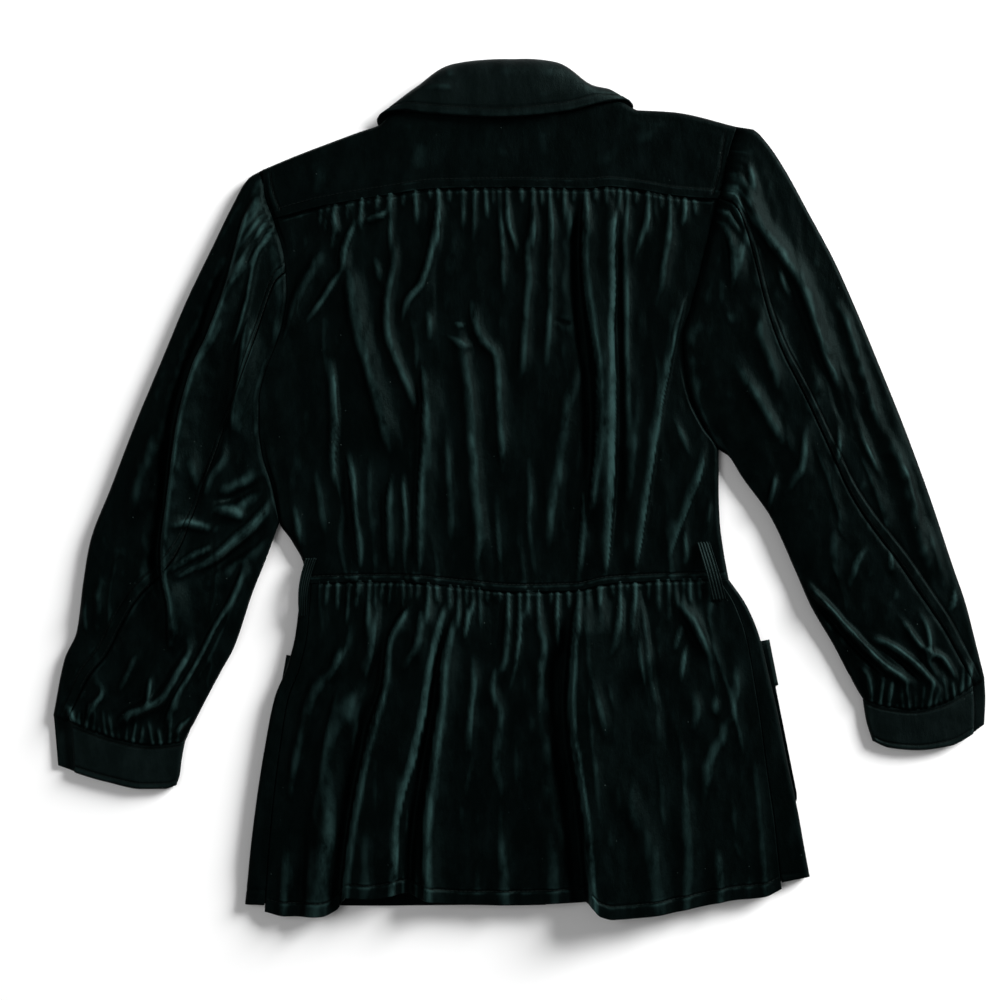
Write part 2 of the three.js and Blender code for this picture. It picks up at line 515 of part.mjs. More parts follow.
function foldHeight(fold, x, y) {
  const { points, length } = fold;
  const fade = Math.min(fold.fade ?? 26, length / 2);
  let best = { away: Infinity, side: 1, along: 0 };
  let run = 0;
  for (let i = 0; i + 1 < points.length; i += 1) {
    const [a, b] = [points[i], points[i + 1]];
    const [dx, dy] = [b.x - a.x, b.y - a.y];
    const step = Math.hypot(dx, dy);
    const t = THREE.MathUtils.clamp(((x - a.x) * dx + (y - a.y) * dy) / (step * step), 0, 1);
    const away = Math.hypot(x - a.x - t * dx, y - a.y - t * dy);
    if (away < best.away) {
      best = { away, side: Math.sign(dx * (y - a.y) - dy * (x - a.x)) || 1, along: run + t * step };
    }
    run += step;
  }
  const flank = Math.max(best.side > 0 ? fold.right : fold.left, FINEST_FOLD);
  const start = fold.fromSeam ? 1 : smooth(best.along / fade);
  const end = fold.toHem ? 1 : smooth((run - best.along) / fade);
  return fold.rise * Math.exp(-((best.away / flank) ** 2)) * Math.max(start * end, 0);
}

// Short folds that leave a seam, one for each gather
function gathersDown(rows, seam) {
  const level = through(seam, "x", "y");
  return rows.map(([x, long, rise]) => {
    const y = level(x);
    return gatherAt([x, y + GATHER.aboveSeam], [x + GATHER.lean * x, y - long], rise, long);
  });
}

function gatherAt(from, to, rise, long) {
  const half = [mixed(from[0], to[0], 0.5), mixed(from[1], to[1], 0.5)];
  const fade = long * GATHER.fade;
  return { rise, left: GATHER.flank, right: GATHER.flank, fromSeam: true, fade, line: [from, half, to] };
}

// One cloth's cross-section from the back's middle (a = 0) round the edge (a = 1) to the front's (a = 2).
// It gives the place across, from -1 to 1, and the height of the cloth's outer face.
function tubeSection(a, halfWidth, radius, high) {
  const edge = radius / halfWidth;
  const side = Math.sign(a) || 1;
  const away = Math.abs(a);
  if (away <= 1 - edge) {
    const crown = (1 - (away / (1 - edge)) ** 3) ** 2;
    return { q: a, z: 2 * radius + Math.max(high - 2 * radius, 0) * crown };
  }
  if (away < 1 + edge) {
    const turn = ((away - 1 + edge) / (2 * edge)) * Math.PI;
    return { q: side * (1 - edge + edge * Math.sin(turn)), z: radius + radius * Math.cos(turn) };
  }
  return { q: side * (2 - away), z: 0 };
}

// The back's cross-section: its edge turns down onto the front, or stays up at an armhole
function domeSection(a, high, floor) {
  const edge = EDGE_RADIUS / BODY_HALF_WIDTH;
  const side = Math.sign(a) || 1;
  const away = Math.abs(a);
  const shoulder = Math.min(2 * EDGE_RADIUS, high * 0.75);
  if (away <= 1 - edge) {
    const crown = (1 - (away / (1 - edge)) ** 3) ** 2;
    return { q: a, z: Math.max(shoulder + (high - shoulder) * crown, floor) };
  }
  const turn = ((away - 1 + edge) / edge) * (Math.PI / 2);
  const drop = BACK_SEAT + (shoulder - BACK_SEAT) * Math.cos(turn);
  const rolled = side * (1 - edge + edge * Math.sin(turn));
  const staysUp = THREE.MathUtils.clamp((floor - BACK_SEAT) / BACK_SEAT, 0, 1);
  return { q: mixed(rolled, a, staysUp), z: Math.max(drop, floor) };
}

const backHeight = through(BACK_HEIGHT, "y", "high");
const sleeveHeight = through(SLEEVE_HEIGHT, "s", "high");
const sleeveEdge = through(SLEEVE_EDGE, "s", "radius");
const yokeSeamLevel = through(YOKE_SEAM, "x", "y");

// How high the back stays at the armhole on its side, at a height y
function armholeFloor(side, y) {
  const hole = side < 0 ? ARMHOLE.left : ARMHOLE.right;
  const share = THREE.MathUtils.clamp((y - hole.under) / (hole.top - hole.under), 0, 1);
  return BACK_SEAT + (ARMHOLE.high - BACK_SEAT) * Math.sin(Math.PI * share) ** 0.6;
}

const centreFront = (y) => CENTRE.x + (y - CENTRE.y) * CENTRE.lean;

// What lies under the fronts lifts them off the surface: the buttons, the collar's points, the pockets
function liftOverButtons(x, y) {
  const away = Math.abs(x - centreFront(y));
  return (BUTTON.thick + SEAM_GAP) * smooth((BUTTON_LIFT.ends - away) / BUTTON_LIFT.over);
}

function liftOverCollar(x, y) {
  const across = smooth((COLLAR_LIFT.ends - Math.abs(x - COLLAR_LIFT.middle)) / COLLAR_LIFT.over);
  return (LAYER + SEAM_GAP) * across * smooth((y - COLLAR_LIFT.from) / COLLAR_LIFT.rows);
}

// The wearer's left front lies on the right one where they lap
function liftOverLap(side, x, y) {
  if (side > 0) return 0;
  return LAYER * smooth((x - centreFront(y) + LAP_LIFT.starts) / LAP_LIFT.over);
}

function pocketPlace(pocket, x, y) {
  const [dx, dy] = [x - pocket.x, y - pocket.y];
  return {
    down: dx * pocket.along[0] + dy * pocket.along[1],
    inward: dx * pocket.inward[0] + dy * pocket.inward[1],
  };
}

function liftOverPocket(pocket, x, y) {
  const place = pocketPlace(pocket, x, y);
  const outX = Math.max(place.inward - POCKET.wide, 0);
  const outY = Math.max(-place.down, place.down - POCKET.long, 0);
  const near = smooth(1 - (Math.hypot(outX, outY) - POCKET_LIFT.level) / POCKET_LIFT.over);
  return near * (2 * LAYER + SEAM_GAP);
}

// A cloth wall: the skin of a box, with one face laid on the surface and the other a cloth's thickness
// inside it. The surface gives a smooth base and how far the folds stand off it.
const NEAR = 1e-3;
function clothWall(surface, columns, rows, { outward = 1, thick = CLOTH } = {}) {
  const box = new THREE.BoxGeometry(1, 1, 1, columns.length - 1, rows.length - 1, 1);
  box.deleteAttribute("uv");
  box.deleteAttribute("normal");
  const geometry = mergeVertices(box, 1e-4);
  const place = geometry.attributes.position;
  for (let i = 0; i < place.count; i += 1) {
    const u = columns[Math.round((place.getX(i) + 0.5) * (columns.length - 1))];
    const v = rows[Math.round((place.getY(i) + 0.5) * (rows.length - 1))];
    const { point, normal, fold } = framed(surface, u, v, outward);
    const depth = place.getZ(i) > 0 ? fold : fold - thick;
    point.addScaledVector(normal, depth);
    place.setXYZ(i, point.x, point.y, point.z);
  }
  splitAlongFolds(geometry, columns.length - 1, rows.length - 1);
  return facingOut(geometry);
}

// The squares of the wall's two faces are split along the diagonal that follows a fold, the same one on
// both faces, so that the wall keeps its thickness. The box holds its outer and inner faces last.
function splitAlongFolds(geometry, across, down) {
  const index = geometry.index.array;
  const place = geometry.attributes.position;
  const face = across * down * 6;
  const outer = index.length - 2 * face;
  const square = (at) => [index[at], index[at + 1], index[at + 4], index[at + 2]];
  const falling = ([a, b, c, d]) => [a, b, c, a, c, d];
  const rising = ([a, b, c, d]) => [a, b, d, b, c, d];
  for (let i = 0; i < across * down; i += 1) {
    const row = Math.floor(i / across);
    const here = outer + i * 6;
    const behind = outer + face + (row * across + across - 1 - (i % across)) * 6;
    const [a, b, c, d] = square(here).map((corner) => place.getZ(corner));
    const turned = Math.abs(a - c) < Math.abs(b - d);
    index.set(turned ? falling(square(here)) : rising(square(here)), here);
    index.set(turned ? rising(square(behind)) : falling(square(behind)), behind);
  }
}

// A surface's point, its normal from two near points each way, and its fold's height
function framed(surface, u, v, outward) {
  const here = surface(u, v);
  const across = surface(u + NEAR, v).point.sub(surface(u - NEAR, v).point);
  const down = surface(u, v + NEAR).point.sub(surface(u, v - NEAR).point);
  const normal = across.cross(down).normalize().multiplyScalar(outward);
  return { point: here.point, normal, fold: here.fold };
}

function facingOut(geometry) {
  const place = geometry.attributes.position;
  const index = geometry.index.array;
  const [a, b, c] = [new THREE.Vector3(), new THREE.Vector3(), new THREE.Vector3()];
  let volume = 0;
  for (let i = 0; i < index.length; i += 3) {
    a.fromBufferAttribute(place, index[i]);
    b.fromBufferAttribute(place, index[i + 1]);
    c.fromBufferAttribute(place, index[i + 2]);
    volume += a.dot(b.cross(c));
  }
  if (volume < 0) {
    for (let i = 0; i < index.length; i += 3) {
      [index[i + 1], index[i + 2]] = [index[i + 2], index[i + 1]];
    }
  }
  geometry.computeVertexNormals();
  return geometry;
}

const evenly = (count, from = 0, to = 1) =>
  Array.from({ length: count + 1 }, (_, i) => mixed(from, to, i / count));

// Columns for a gathered edge: one on each gather, one between each pair, a few round the rolled sides
function gatheredColumns(rows, from, to, sides) {
  const places = rows.map(([x]) => (x - from) / (to - from));
  const between = places.slice(1).map((place, i) => (place + places[i]) / 2);
  const limit = [sides.at(-1), 1 - sides.at(-1)];
  const middle = [...places, ...between].filter((u) => u > limit[0] + 0.006 && u < limit[1] - 0.006);
  const extra = fillGaps([limit[0], ...middle.sort((a, b) => a - b), limit[1]], 0.03);
  return [...new Set([...sides, ...extra, ...sides.map((u) => 1 - u)])].sort((a, b) => a - b);
}

function fillGaps(sorted, widest) {
  const out = [sorted[0]];
  for (const place of sorted.slice(1)) {
    const parts = Math.ceil((place - out.at(-1)) / widest);
    out.push(...evenly(parts, out.at(-1), place).slice(1));
  }
  return out;
}

const velvet = (shade) =>
  new THREE.MeshStandardMaterial({ color: new THREE.Color(shade), roughness: 0.95, metalness: 0 });
const VELVET = velvet("#07100f");
const VELVET_TURNED = velvet("#0b1614");
const COVERED_BUTTON = velvet("#0a1211");

const jacket = new THREE.Group();
const lyingFlat = new THREE.Group();
jacket.add(lyingFlat);

function sew(name, geometry, material = VELVET) {
  const mesh = new THREE.Mesh(geometry, material);
  mesh.name = name;
  lyingFlat.add(mesh);
}

// The back of the body: one height for yoke and bodice, so that their seam meets
const SIDE_COLUMNS = [0, 0.005, 0.01, 0.016, 0.035];
const CALM_EDGE = 0.05; // share of a panel's side over which its folds die out

function bodiceSurface() {
  const upper = (rows, from) => rows.filter((row) => row.y <= from);
  const plan = panelPlan(
    lineAcross(YOKE_SEAM), lineAcross(WAIST_SEAM),
    lineDown(upper(LEFT_SIDE, 241)), lineDown(upper(RIGHT_SIDE, 259)),
  );
  const folds = foldField([...BODICE_FOLDS, ...gathersDown(YOKE_GATHERS, YOKE_SEAM)]);
  return (u, v) => {
    const a = 2 * u - 1;
    const flat = plan(u, v);
    const floor = armholeFloor(a, flat.y);
    const { q, z } = domeSection(a, backHeight(flat.y), floor);
    const { x, y } = plan((q + 1) / 2, v);
    const calm = smooth((1 - Math.abs(a)) / CALM_EDGE);
    const fold = calm * Math.max(folds(x, y), FOLD_FLOOR.bodice - z);
    return { point: new THREE.Vector3(x, y, z), fold };
  };
}

function addBodice() {
  const columns = gatheredColumns(YOKE_GATHERS, -221, 180, SIDE_COLUMNS);
  const gap = SEAM_GAP / 340; // as a share of the bodice's length
  const rows = [gap, 0.04, 0.1, 0.19, 0.3, 0.42, 0.55, 0.68, 0.81, 0.93, 1 - gap];
  sew("back_bodice", clothWall(bodiceSurface(), columns, rows, { outward: -1 }));
}

// The yoke runs up to the shoulders, where it turns down, and to the neck, where it meets the collar
function yokeSurface() {
  const lower = (rows, to) => rows.filter((row) => row.y >= to);
  const plan = panelPlan(
    lineAcross(SHOULDER_LINE), lineAcross(YOKE_SEAM),
    lineDown(lower(LEFT_SIDE, 241)), lineDown(lower(RIGHT_SIDE, 259)),
  );
  const atNeck = (x) => smooth((x - NECK.left) / NECK.blend) * smooth((NECK.right - x) / NECK.blend);
  return (u, v) => {
    const a = 2 * u - 1;
    const turn = THREE.MathUtils.clamp(1 - v / YOKE_TURN, 0, 1) * (Math.PI / 2);
    const down = v < YOKE_TURN ? YOKE_TURN * (1 - Math.sin(turn)) : v;
    const flat = plan(u, down);
    const seam = plan(u, 1);
    const floor = armholeFloor(a, Math.min(flat.y, ARMHOLE.held));
    const section = domeSection(a, backHeight(seam.y), floor);
    const { x, y } = plan((section.q + 1) / 2, down);
    const end = mixed(LAYER + 0.5 + liftOverCollar(x, y), YOKE_TOP.neck, atNeck(x));
    const rise = mixed(YOKE_TOP.high, section.z, 1 - (1 - down) ** 2);
    const z = end + (rise - end) * Math.cos(turn);
    const band = smooth((YOKE_BAND.wide + 1 - (y - yokeSeamLevel(x))) / 2) * YOKE_BAND.rise;
    return { point: new THREE.Vector3(x, y, z), fold: band };
  };
}

function addYoke() {
  const columns = fillGaps([0, 0.016, 0.984, 1], 0.05);
  const gap = SEAM_GAP / 75; // as a share of the yoke's length
  const rows = [0, 0.027, 0.054, 0.08, 0.2, 0.4, 0.62, 0.82, 0.88, 1 - gap];
  sew("back_yoke", clothWall(yokeSurface(), columns, rows, { outward: -1 }));
}

// The fronts lie flat under the back and lap at the centre
function frontSurface(side) {
  const across = side < 0 ? LEFT_SIDE : RIGHT_SIDE;
  const edge = (y) => centreFront(y) - side * FRONT_LAP;
  const top = lineBetween(FRONT_TOP, across[0].x, edge(260));
  const bottom = lineBetween(FRONT_WAIST, across.at(-1).x, edge(-88));
  const opening = (v) => ({ x: mixed(top(1).x, bottom(1).x, v), y: mixed(top(1).y, bottom(1).y, v) });
  const plan = panelPlan(top, bottom, lineDown(across), opening);
  return (u, v) => {
    const { x, y } = plan(u, v);
    const z = Math.max(liftOverButtons(x, y), liftOverCollar(x, y)) + liftOverLap(side, x, y);
    return { point: new THREE.Vector3(x, y, z), fold: 0 };
  };
}

function addFronts() {
  const rows = [...evenly(13, 0, 0.94), 1 - SEAM_GAP / 400];
  const columns = [0.003, 0.12, 0.25, 0.38, 0.5, 0.62, 0.74, 0.82, 0.88, 0.94, 1];
  for (const [name, side] of [["left", -1], ["right", 1]]) {
    sew(`front_${name}`, clothWall(frontSurface(side), columns, rows, { outward: -side }));
  }
}

// The peplum is one tube: its fronts turn round the sides to a seam on the back
const PEPLUM_HALF_WIDTH = 230;
const PEPLUM_ROWS = [SEAM_GAP / 290, 0.04, 0.09, 0.16, 0.26, 0.38, 0.52, 0.66, 0.8, 0.92, 1];
const SIDE_SEAM = { left: { waist: 0.045, hem: 0.07 }, right: { waist: 0.045, hem: 0.1 } };

function sideSeam(side, v) {
  const seam = side < 0 ? SIDE_SEAM.left : SIDE_SEAM.right;
  return side * (1 - mixed(seam.waist, seam.hem, v));
}

function peplumPoint(plan, a, v) {
  const middle = plan((THREE.MathUtils.clamp(a, -1, 1) + 1) / 2, v);
  const { q, z } = tubeSection(a, PEPLUM_HALF_WIDTH, EDGE_RADIUS, backHeight(middle.y));
  const { x, y } = plan((q + 1) / 2, v);
  const below = Math.max(1 - z / (2 * EDGE_RADIUS), 0);
  const overPocket = Math.max(liftOverPocket(POCKETS.left, x, y), liftOverPocket(POCKETS.right, x, y));
  const overButtons = liftOverButtons(x, y) * below;
  return new THREE.Vector3(x, y, z + Math.max(overButtons, overPocket * mixed(POCKET_LIFT.back, 1, below)));
}

function peplumBackSurface() {
  const plan = panelPlan(
    lineAcross(WAIST_SEAM), lineAcross(BACK_HEM), lineDown(PEPLUM_LEFT), lineDown(PEPLUM_RIGHT),
  );
  const folds = foldField([
    ...PEPLUM_FOLDS.map((fold) => ({ ...fold, toHem: fold.line.at(-1)[1] < -360 })),
    ...gathersDown(WAIST_GATHERS, WAIST_SEAM),
  ]);
  const gap = SEAM_GAP / PEPLUM_HALF_WIDTH;
  return (u, v) => {
    const a = mixed(sideSeam(-1, v) + gap, sideSeam(1, v) - gap, u);
    const point = peplumPoint(plan, a, v);
    const calm = smooth(Math.min(u, 1 - u) / CALM_EDGE);
    return { point, fold: calm * Math.max(folds(point.x, point.y), FOLD_FLOOR.peplum - point.z) };
  };
}

function addPeplumBack() {
  const columns = gatheredColumns(WAIST_GATHERS, -190, 186, [0, 0.012]);
  sew("peplum_back", clothWall(peplumBackSurface(), columns, PEPLUM_ROWS, { outward: -1 }));
}

function peplumFrontSurface(side) {
  const plan = panelPlan(
    lineAcross(FRONT_WAIST), lineAcross(FRONT_HEM), lineDown(PEPLUM_LEFT), lineDown(PEPLUM_RIGHT),
  );
  const edge = EDGE_RADIUS / PEPLUM_HALF_WIDTH;
  const lap = FRONT_LAP / PEPLUM_HALF_WIDTH;
  return (u, v) => {
    const seam = Math.abs(sideSeam(side, v));
    const a = side * peplumColumn(u, seam, edge, 2 + lap);
    const point = peplumPoint(plan, a, v);
    point.z += liftOverLap(side, point.x, point.y);
    return { point, fold: 0 };
  };
}

function addPeplumFronts() {
  const columns = [0, 1, 2, 3, 4, 5, 6, 7.6, 9, 10.6, 12, 13, 14].map((c) => c / 14);
  for (const [name, side] of [["left", -1], ["right", 1]]) {
    const wall = clothWall(peplumFrontSurface(side), columns, PEPLUM_ROWS, { outward: -side });
    sew(`peplum_front_${name}`, wall);
  }
}

// Columns of the peplum's front: first the turned edge, then the flat part to the centre
function peplumColumn(u, seam, edge, end) {
  const turned = 6 / 14;
  if (u <= turned) return mixed(seam, 1 + edge, u / turned);
  return mixed(1 + edge, end, (u - turned) / (1 - turned));
}

// Sleeves: a tube that is wide at the armhole and narrow at the cuff, in two pieces
function sleevePlan(sleeve) {
  const side = sleeve.side < 0 ? LEFT_SIDE : RIGHT_SIDE;
  const under = sleeve.side < 0 ? ARMHOLE.left.under : ARMHOLE.right.under;
  const armhole = side.filter((row) => row.y >= under).reverse();
  return panelPlan(
    lineDown(armhole), lineAcross(sleeve.cuffSeam), lineDown(sleeve.inner), lineDown(sleeve.outer),
  );
}

function sleeveFolds(name, sleeve) {
  const seam = through(sleeve.cuffSeam, "x", "y");
  const cuff = sleeve.gathers.map((x, i) => {
    const long = GATHER.cuffLong * (0.7 + 0.5 * Math.abs(Math.sin(i * 2.1)));
    return gatherAt([x, seam(x) - 3], [x + 6 * Math.sin(i), seam(x) + long], GATHER.cuffRise, long);
  });
  const side = through(sleeve.side < 0 ? LEFT_SIDE : RIGHT_SIDE, "y", "x");
  const head = HEAD_GATHERS[name].map(([y, long]) =>
    gatherAt([side(y), y], [side(y) + sleeve.side * long * 0.5, y - long * 0.8], GATHER.headRise, long));
  return foldField([...SLEEVE_FOLDS[name], ...cuff, ...head]);
}

function sleeveSurface(name, sleeve, range) {
  const plan = sleevePlan(sleeve);
  const folds = sleeveFolds(name, sleeve);
  return (u, s) => {
    const a = range(u, s);
    const halfWidth = mixed(SLEEVE_HALF_WIDTH.head, SLEEVE_HALF_WIDTH.cuff, smooth(s * 1.2));
    const { q, z } = tubeSection(a, halfWidth, sleeveEdge(s), sleeveHeight(s));
    const { x, y } = plan((q + 1) / 2, s);
    const wrapped = Math.abs(((a + 5) % 4) - 1);
    const calm = smooth((1 - wrapped) / 0.16);
    const fold = calm > 0 ? calm * Math.max(folds(x, y), FOLD_FLOOR.sleeve - z) : 0;
    return { point: new THREE.Vector3(x, y, z), fold };
  };
}

function addSleeves() {
  for (const [name, sleeve] of Object.entries(SLEEVES)) {
    const seam = through(sleeve.backSeam, "s", "a");
    const gap = 0.004;
    const rows = [sleeve.headGap, 0.03, 0.07, 0.13, 0.21, 0.3, 0.4, 0.5, 0.6, 0.7, 0.79, 0.87, 0.94, 0.998];
    const outer = (u, s) => mixed(seam(s) + gap, 2 - gap, u);
    const inner = (u, s) => mixed(seam(s) - gap, -2 + gap, u);
    const outward = sleeve.side;
    const topColumns = [0, 0.07, 0.14, 0.22, 0.3, 0.37, 0.42, 0.46, 0.5, 0.54, 0.6, 0.72, 0.86, 1];
    const underColumns = evenly(18);
    sew(`sleeve_${name}_top`,
      clothWall(sleeveSurface(name, sleeve, outer), topColumns, rows, { outward: -outward }));
    sew(`sleeve_${name}_under`,
      clothWall(sleeveSurface(name, sleeve, inner), underColumns, rows, { outward }));
  }
}

// Cuffs: a band round the wrist, open at the outer side, where its lower end runs on as a tab
function addCuffs() {
  for (const [name, sleeve] of Object.entries(SLEEVES)) {
    const plan = panelPlan(
      lineAcross(sleeve.cuffSeam), lineAcross(sleeve.cuffEnd),
      lineDown(sleeve.cuffInner), lineDown(sleeve.cuffOuter),
    );
    const surface = (u, v) => {
      const a = mixed(sleeve.cuffOpens, -3, u);
      const { q, z } = tubeSection(a, SLEEVE_HALF_WIDTH.cuff, CUFF.radius, CUFF.high);
      const { x, y } = plan((q + 1) / 2, v);
      const tab = CUFF.tabRise * smooth((-a - CUFF.tabFrom) / CUFF.tabLong);
      return { point: new THREE.Vector3(x, y, z + tab), fold: 0 };
    };
    const columns = [...evenly(8, 0, 0.42), ...evenly(6, 0.435, 0.49), 0.55, 0.65, 0.78, 0.88, 0.92, 0.96, 1];
    const rows = [0.02, 0.25, 0.55, 0.85, 1];
    const outward = sleeve.side;
    sew(`cuff_${name}`, clothWall(surface, columns, rows, { outward }), VELVET_TURNED);
  }
}

// The collar: a fall that rolls over the stand, both run round the neck from point to point
function collarCurve(key) {
  return new THREE.CatmullRomCurve3(COLLAR.map((station) => new THREE.Vector3(...station[key])));
}

function addCollar() {
  const [edge, roll, neck, inside] = ["edge", "roll", "neck", "inside"].map(collarCurve);
  const at = (curve, u) => curve.getPoint(THREE.MathUtils.clamp(u, 0, 1));
  const fall = (u, v) => {
    const turn = v * (Math.PI / 2);
    const from = at(edge, u);
    const to = at(roll, u);
    const point = from.clone().lerp(to, Math.sin(turn));
    const back = smooth(1 - Math.abs(u - 0.5) / 0.3);
    point.z = to.z + (from.z - to.z) * Math.cos(turn) + COLLAR_BULGE * back * Math.sin(2 * turn);
    point.z = Math.max(point.z, 0);
    return { point, fold: 0 };
  };
  sew("collar_fall", clothWall(fall, evenly(30), evenly(5), { outward: 1 }));
  const stand = (u, v) => ({ point: at(neck, u).lerp(at(inside, u), v), fold: 0 });
  const wall = clothWall(stand, evenly(30), evenly(2), { outward: 1, thick: STAND_CLOTH });
  sew("collar_stand", wall, VELVET_TURNED);
}

// Pockets: a pouch on each front of the peplum and the flap that hangs over its mouth
function addPockets() {
  for (const [name, pocket] of Object.entries(POCKETS)) {
    const side = name === "left" ? -1 : 1;
    const place = (down, inward, z) => new THREE.Vector3(
      pocket.x + pocket.along[0] * down + pocket.inward[0] * inward,
      pocket.y + pocket.along[1] * down + pocket.inward[1] * inward,
      z,
    );
    const pouch = (u, v) => {
      const round = Math.sqrt(1 - Math.min(Math.abs(2 * u - 1), 1) ** 8);
      const down = 4 + (POCKET.long - POCKET.corner - 4) * v + POCKET.corner * v * round;
      return { point: place(down, POCKET.wide * u, LAYER), fold: 0 };
    };
    const flap = (u, v) => ({
      point: place(POCKET.flap * v, -POCKET.overhang + (POCKET.wide + 2 * POCKET.overhang) * u, 0), fold: 0,
    });
    const columns = [0, 0.02, 0.06, 0.15, 0.4, 0.6, 0.85, 0.94, 0.98, 1];
    sew(`pocket_${name}`, clothWall(pouch, columns, evenly(4), { outward: -side }));
    sew(`pocket_flap_${name}`, clothWall(flap, evenly(4), evenly(2), { outward: -side }), VELVET_TURNED);
  }
}

// Belt loops: straps that bridge the waist seam, fixed to the panels above and below it
function addBeltLoops() {
  const bodice = bodiceSurface();
  const below = { left: peplumFrontSurface(-1), right: peplumBackSurface() };
  for (const [name, loop] of Object.entries(BELT_LOOPS)) {
    const corner = (surface, [u, v], outward) => {
      const { point, normal, fold } = framed(surface, u, v, outward);
      return point.addScaledVector(normal, Math.max(fold, 0) + LAYER + LOOP_SEAT);
    };
    const upper = loop.above.map((place) => corner(bodice, place, -1));
    const lower = loop.below.map((place) => corner(below[name], place, loop.lowerOutward));
    const arch = new THREE.Vector3(...loop.arch);
    const strap = (u, v) => {
      const start = upper[0].clone().lerp(upper[1], u);
      const end = lower[0].clone().lerp(lower[1], u);
      const share = THREE.MathUtils.clamp(v, 0, 1);
      return { point: start.lerp(end, v).addScaledVector(arch, Math.sin(Math.PI * share)), fold: 0 };
    };
    sew(`belt_loop_${name}`, clothWall(strap, evenly(2), evenly(7), { outward: -1 }), VELVET_TURNED);
  }
}

function addButtons() {
  for (let i = 0; i < BUTTON.count; i += 1) {
    const y = BUTTON.first + BUTTON.step * i;
    const disc = new THREE.CylinderGeometry(BUTTON.radius, BUTTON.radius, BUTTON.thick, 16);
    disc.rotateX(Math.PI / 2).translate(centreFront(y), y, BUTTON.thick / 2);
    sew(`button_${i + 1}`, disc, COVERED_BUTTON);
  }
}

addYoke();
addBodice();
addFronts();
addPeplumBack();
addPeplumFronts();
addSleeves();
addCuffs();
addCollar();
addPockets();
addBeltLoops();
addButtons();

export default jacket;
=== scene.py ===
"""A dark velvet jacket laid out face down and seen from above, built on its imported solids.

Lengths in the tables are millimetres in the jacket's own frame: X across the back to the wearer's
right, Y from hem to collar, Z up from the surface. Meshes are made in metres.
"""

import logging
import math
from dataclasses import dataclass, field, replace
from enum import Enum

import bmesh
import bpy
import numpy as np
from mathutils import Matrix, Vector
from mathutils.bvhtree import BVHTree


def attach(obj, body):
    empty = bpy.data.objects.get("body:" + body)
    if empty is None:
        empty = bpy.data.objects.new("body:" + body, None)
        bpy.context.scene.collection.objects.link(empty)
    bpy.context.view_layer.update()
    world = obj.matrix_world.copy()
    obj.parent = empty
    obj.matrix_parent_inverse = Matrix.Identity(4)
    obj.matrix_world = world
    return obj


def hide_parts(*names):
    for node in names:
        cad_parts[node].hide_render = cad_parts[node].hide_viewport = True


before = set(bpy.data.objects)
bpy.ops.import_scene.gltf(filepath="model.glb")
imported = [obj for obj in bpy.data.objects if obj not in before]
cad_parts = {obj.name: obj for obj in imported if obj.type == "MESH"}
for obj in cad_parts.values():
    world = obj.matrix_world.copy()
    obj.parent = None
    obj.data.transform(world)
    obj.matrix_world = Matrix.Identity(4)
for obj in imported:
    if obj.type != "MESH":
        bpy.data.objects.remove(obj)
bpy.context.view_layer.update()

LOG = logging.getLogger("velvet_jacket")
MM = 0.001
CLOTH = 1.5
LAYER = 2.3
BACK_SEAT = LAYER + 0.25
EDGE_RADIUS = 4.5
FRONT_LAP = 15.0
YOKE_BAND = 10.0
BODY_HALF_WIDTH = 195.0
PEPLUM_HALF_WIDTH = 230.0
SLEEVE_HALF_WIDTH = 150.0
CUFF_HALF_WIDTH = 58.0
CENTRE_FRONT = (-3.0, -85.0, -0.03)
BUTTON_RADIUS, BUTTON_THICK, BUTTON_COUNT, BUTTON_FIRST, BUTTON_STEP = 10.0, 2.8, 5, 225.0, -66.0
BUTTON_CLEAR, BUTTON_REACH, BUTTON_EASE = 0.3, 40.0, 34.0
ARMHOLES = {-1: (287.0, -32.0), 1: (326.0, 34.0)}
ARMHOLE_HIGH = 10.0

BACK_HEIGHT = ((345, 13), (300, 13), (260, 13.5), (180, 12.5), (80, 12), (0, 12), (-60, 11.5),
               (-90, 11.5), (-130, 14), (-220, 16), (-390, 15))
SLEEVE_HEIGHT = ((0, 12), (0.15, 14), (0.5, 14.5), (0.85, 12.5), (1, 9))
SLEEVE_EDGE = ((0, 4.5), (0.5, 5), (1, 3.8))

SHOULDER_LINE = ((-231, 287), (-200, 300), (-160, 315), (-128, 326), (-100, 334), (-60, 341), (-10, 344),
                 (45, 345), (98, 341), (140, 339), (197, 326))
YOKE_SEAM = ((-221, 241), (-180, 252), (-120, 262), (-75, 268), (0, 269), (60, 268), (80, 270),
             (110, 267), (140, 262), (180, 259))
WAIST_SEAM = ((-196, -87), (-170, -86), (-140, -85), (-115, -85), (-90, -86), (-50, -90), (0, -94),
              (50, -93), (80, -87), (140, -84), (190, -83))
FRONT_TOP = ((-231, 287), (-200, 300), (-160, 315), (-122, 324), (-110, 312), (-93, 289), (-62, 265),
             (-12, 254), (35, 264), (66, 285), (86, 313), (101, 334), (140, 338), (197, 326))
FRONT_WAIST = ((-196, -87), (-170, -86), (0, -88), (165, -83.6), (190, -83))
LEFT_SIDE = ((-231, 287), (-229, 265), (-221, 241), (-211, 205), (-209, 175), (-212, 150), (-219, 128),
             (-229, 102), (-234, 78), (-234, 55), (-231, 30), (-222, 0), (-216, -32), (-205, -48),
             (-194, -72), (-196, -87))
RIGHT_SIDE = ((197, 326), (189, 300), (186, 280), (180, 259), (172, 228), (163, 190), (155, 160),
              (148, 135), (150, 108), (156, 80), (168, 55), (181, 34), (181, 0), (182, -30), (185, -55),
              (190, -83))
PEPLUM_LEFT = ((-196, -87), (-199, -115), (-201, -132), (-208, -160), (-220, -190), (-228, -230),
               (-236, -280), (-241, -320), (-247, -376))
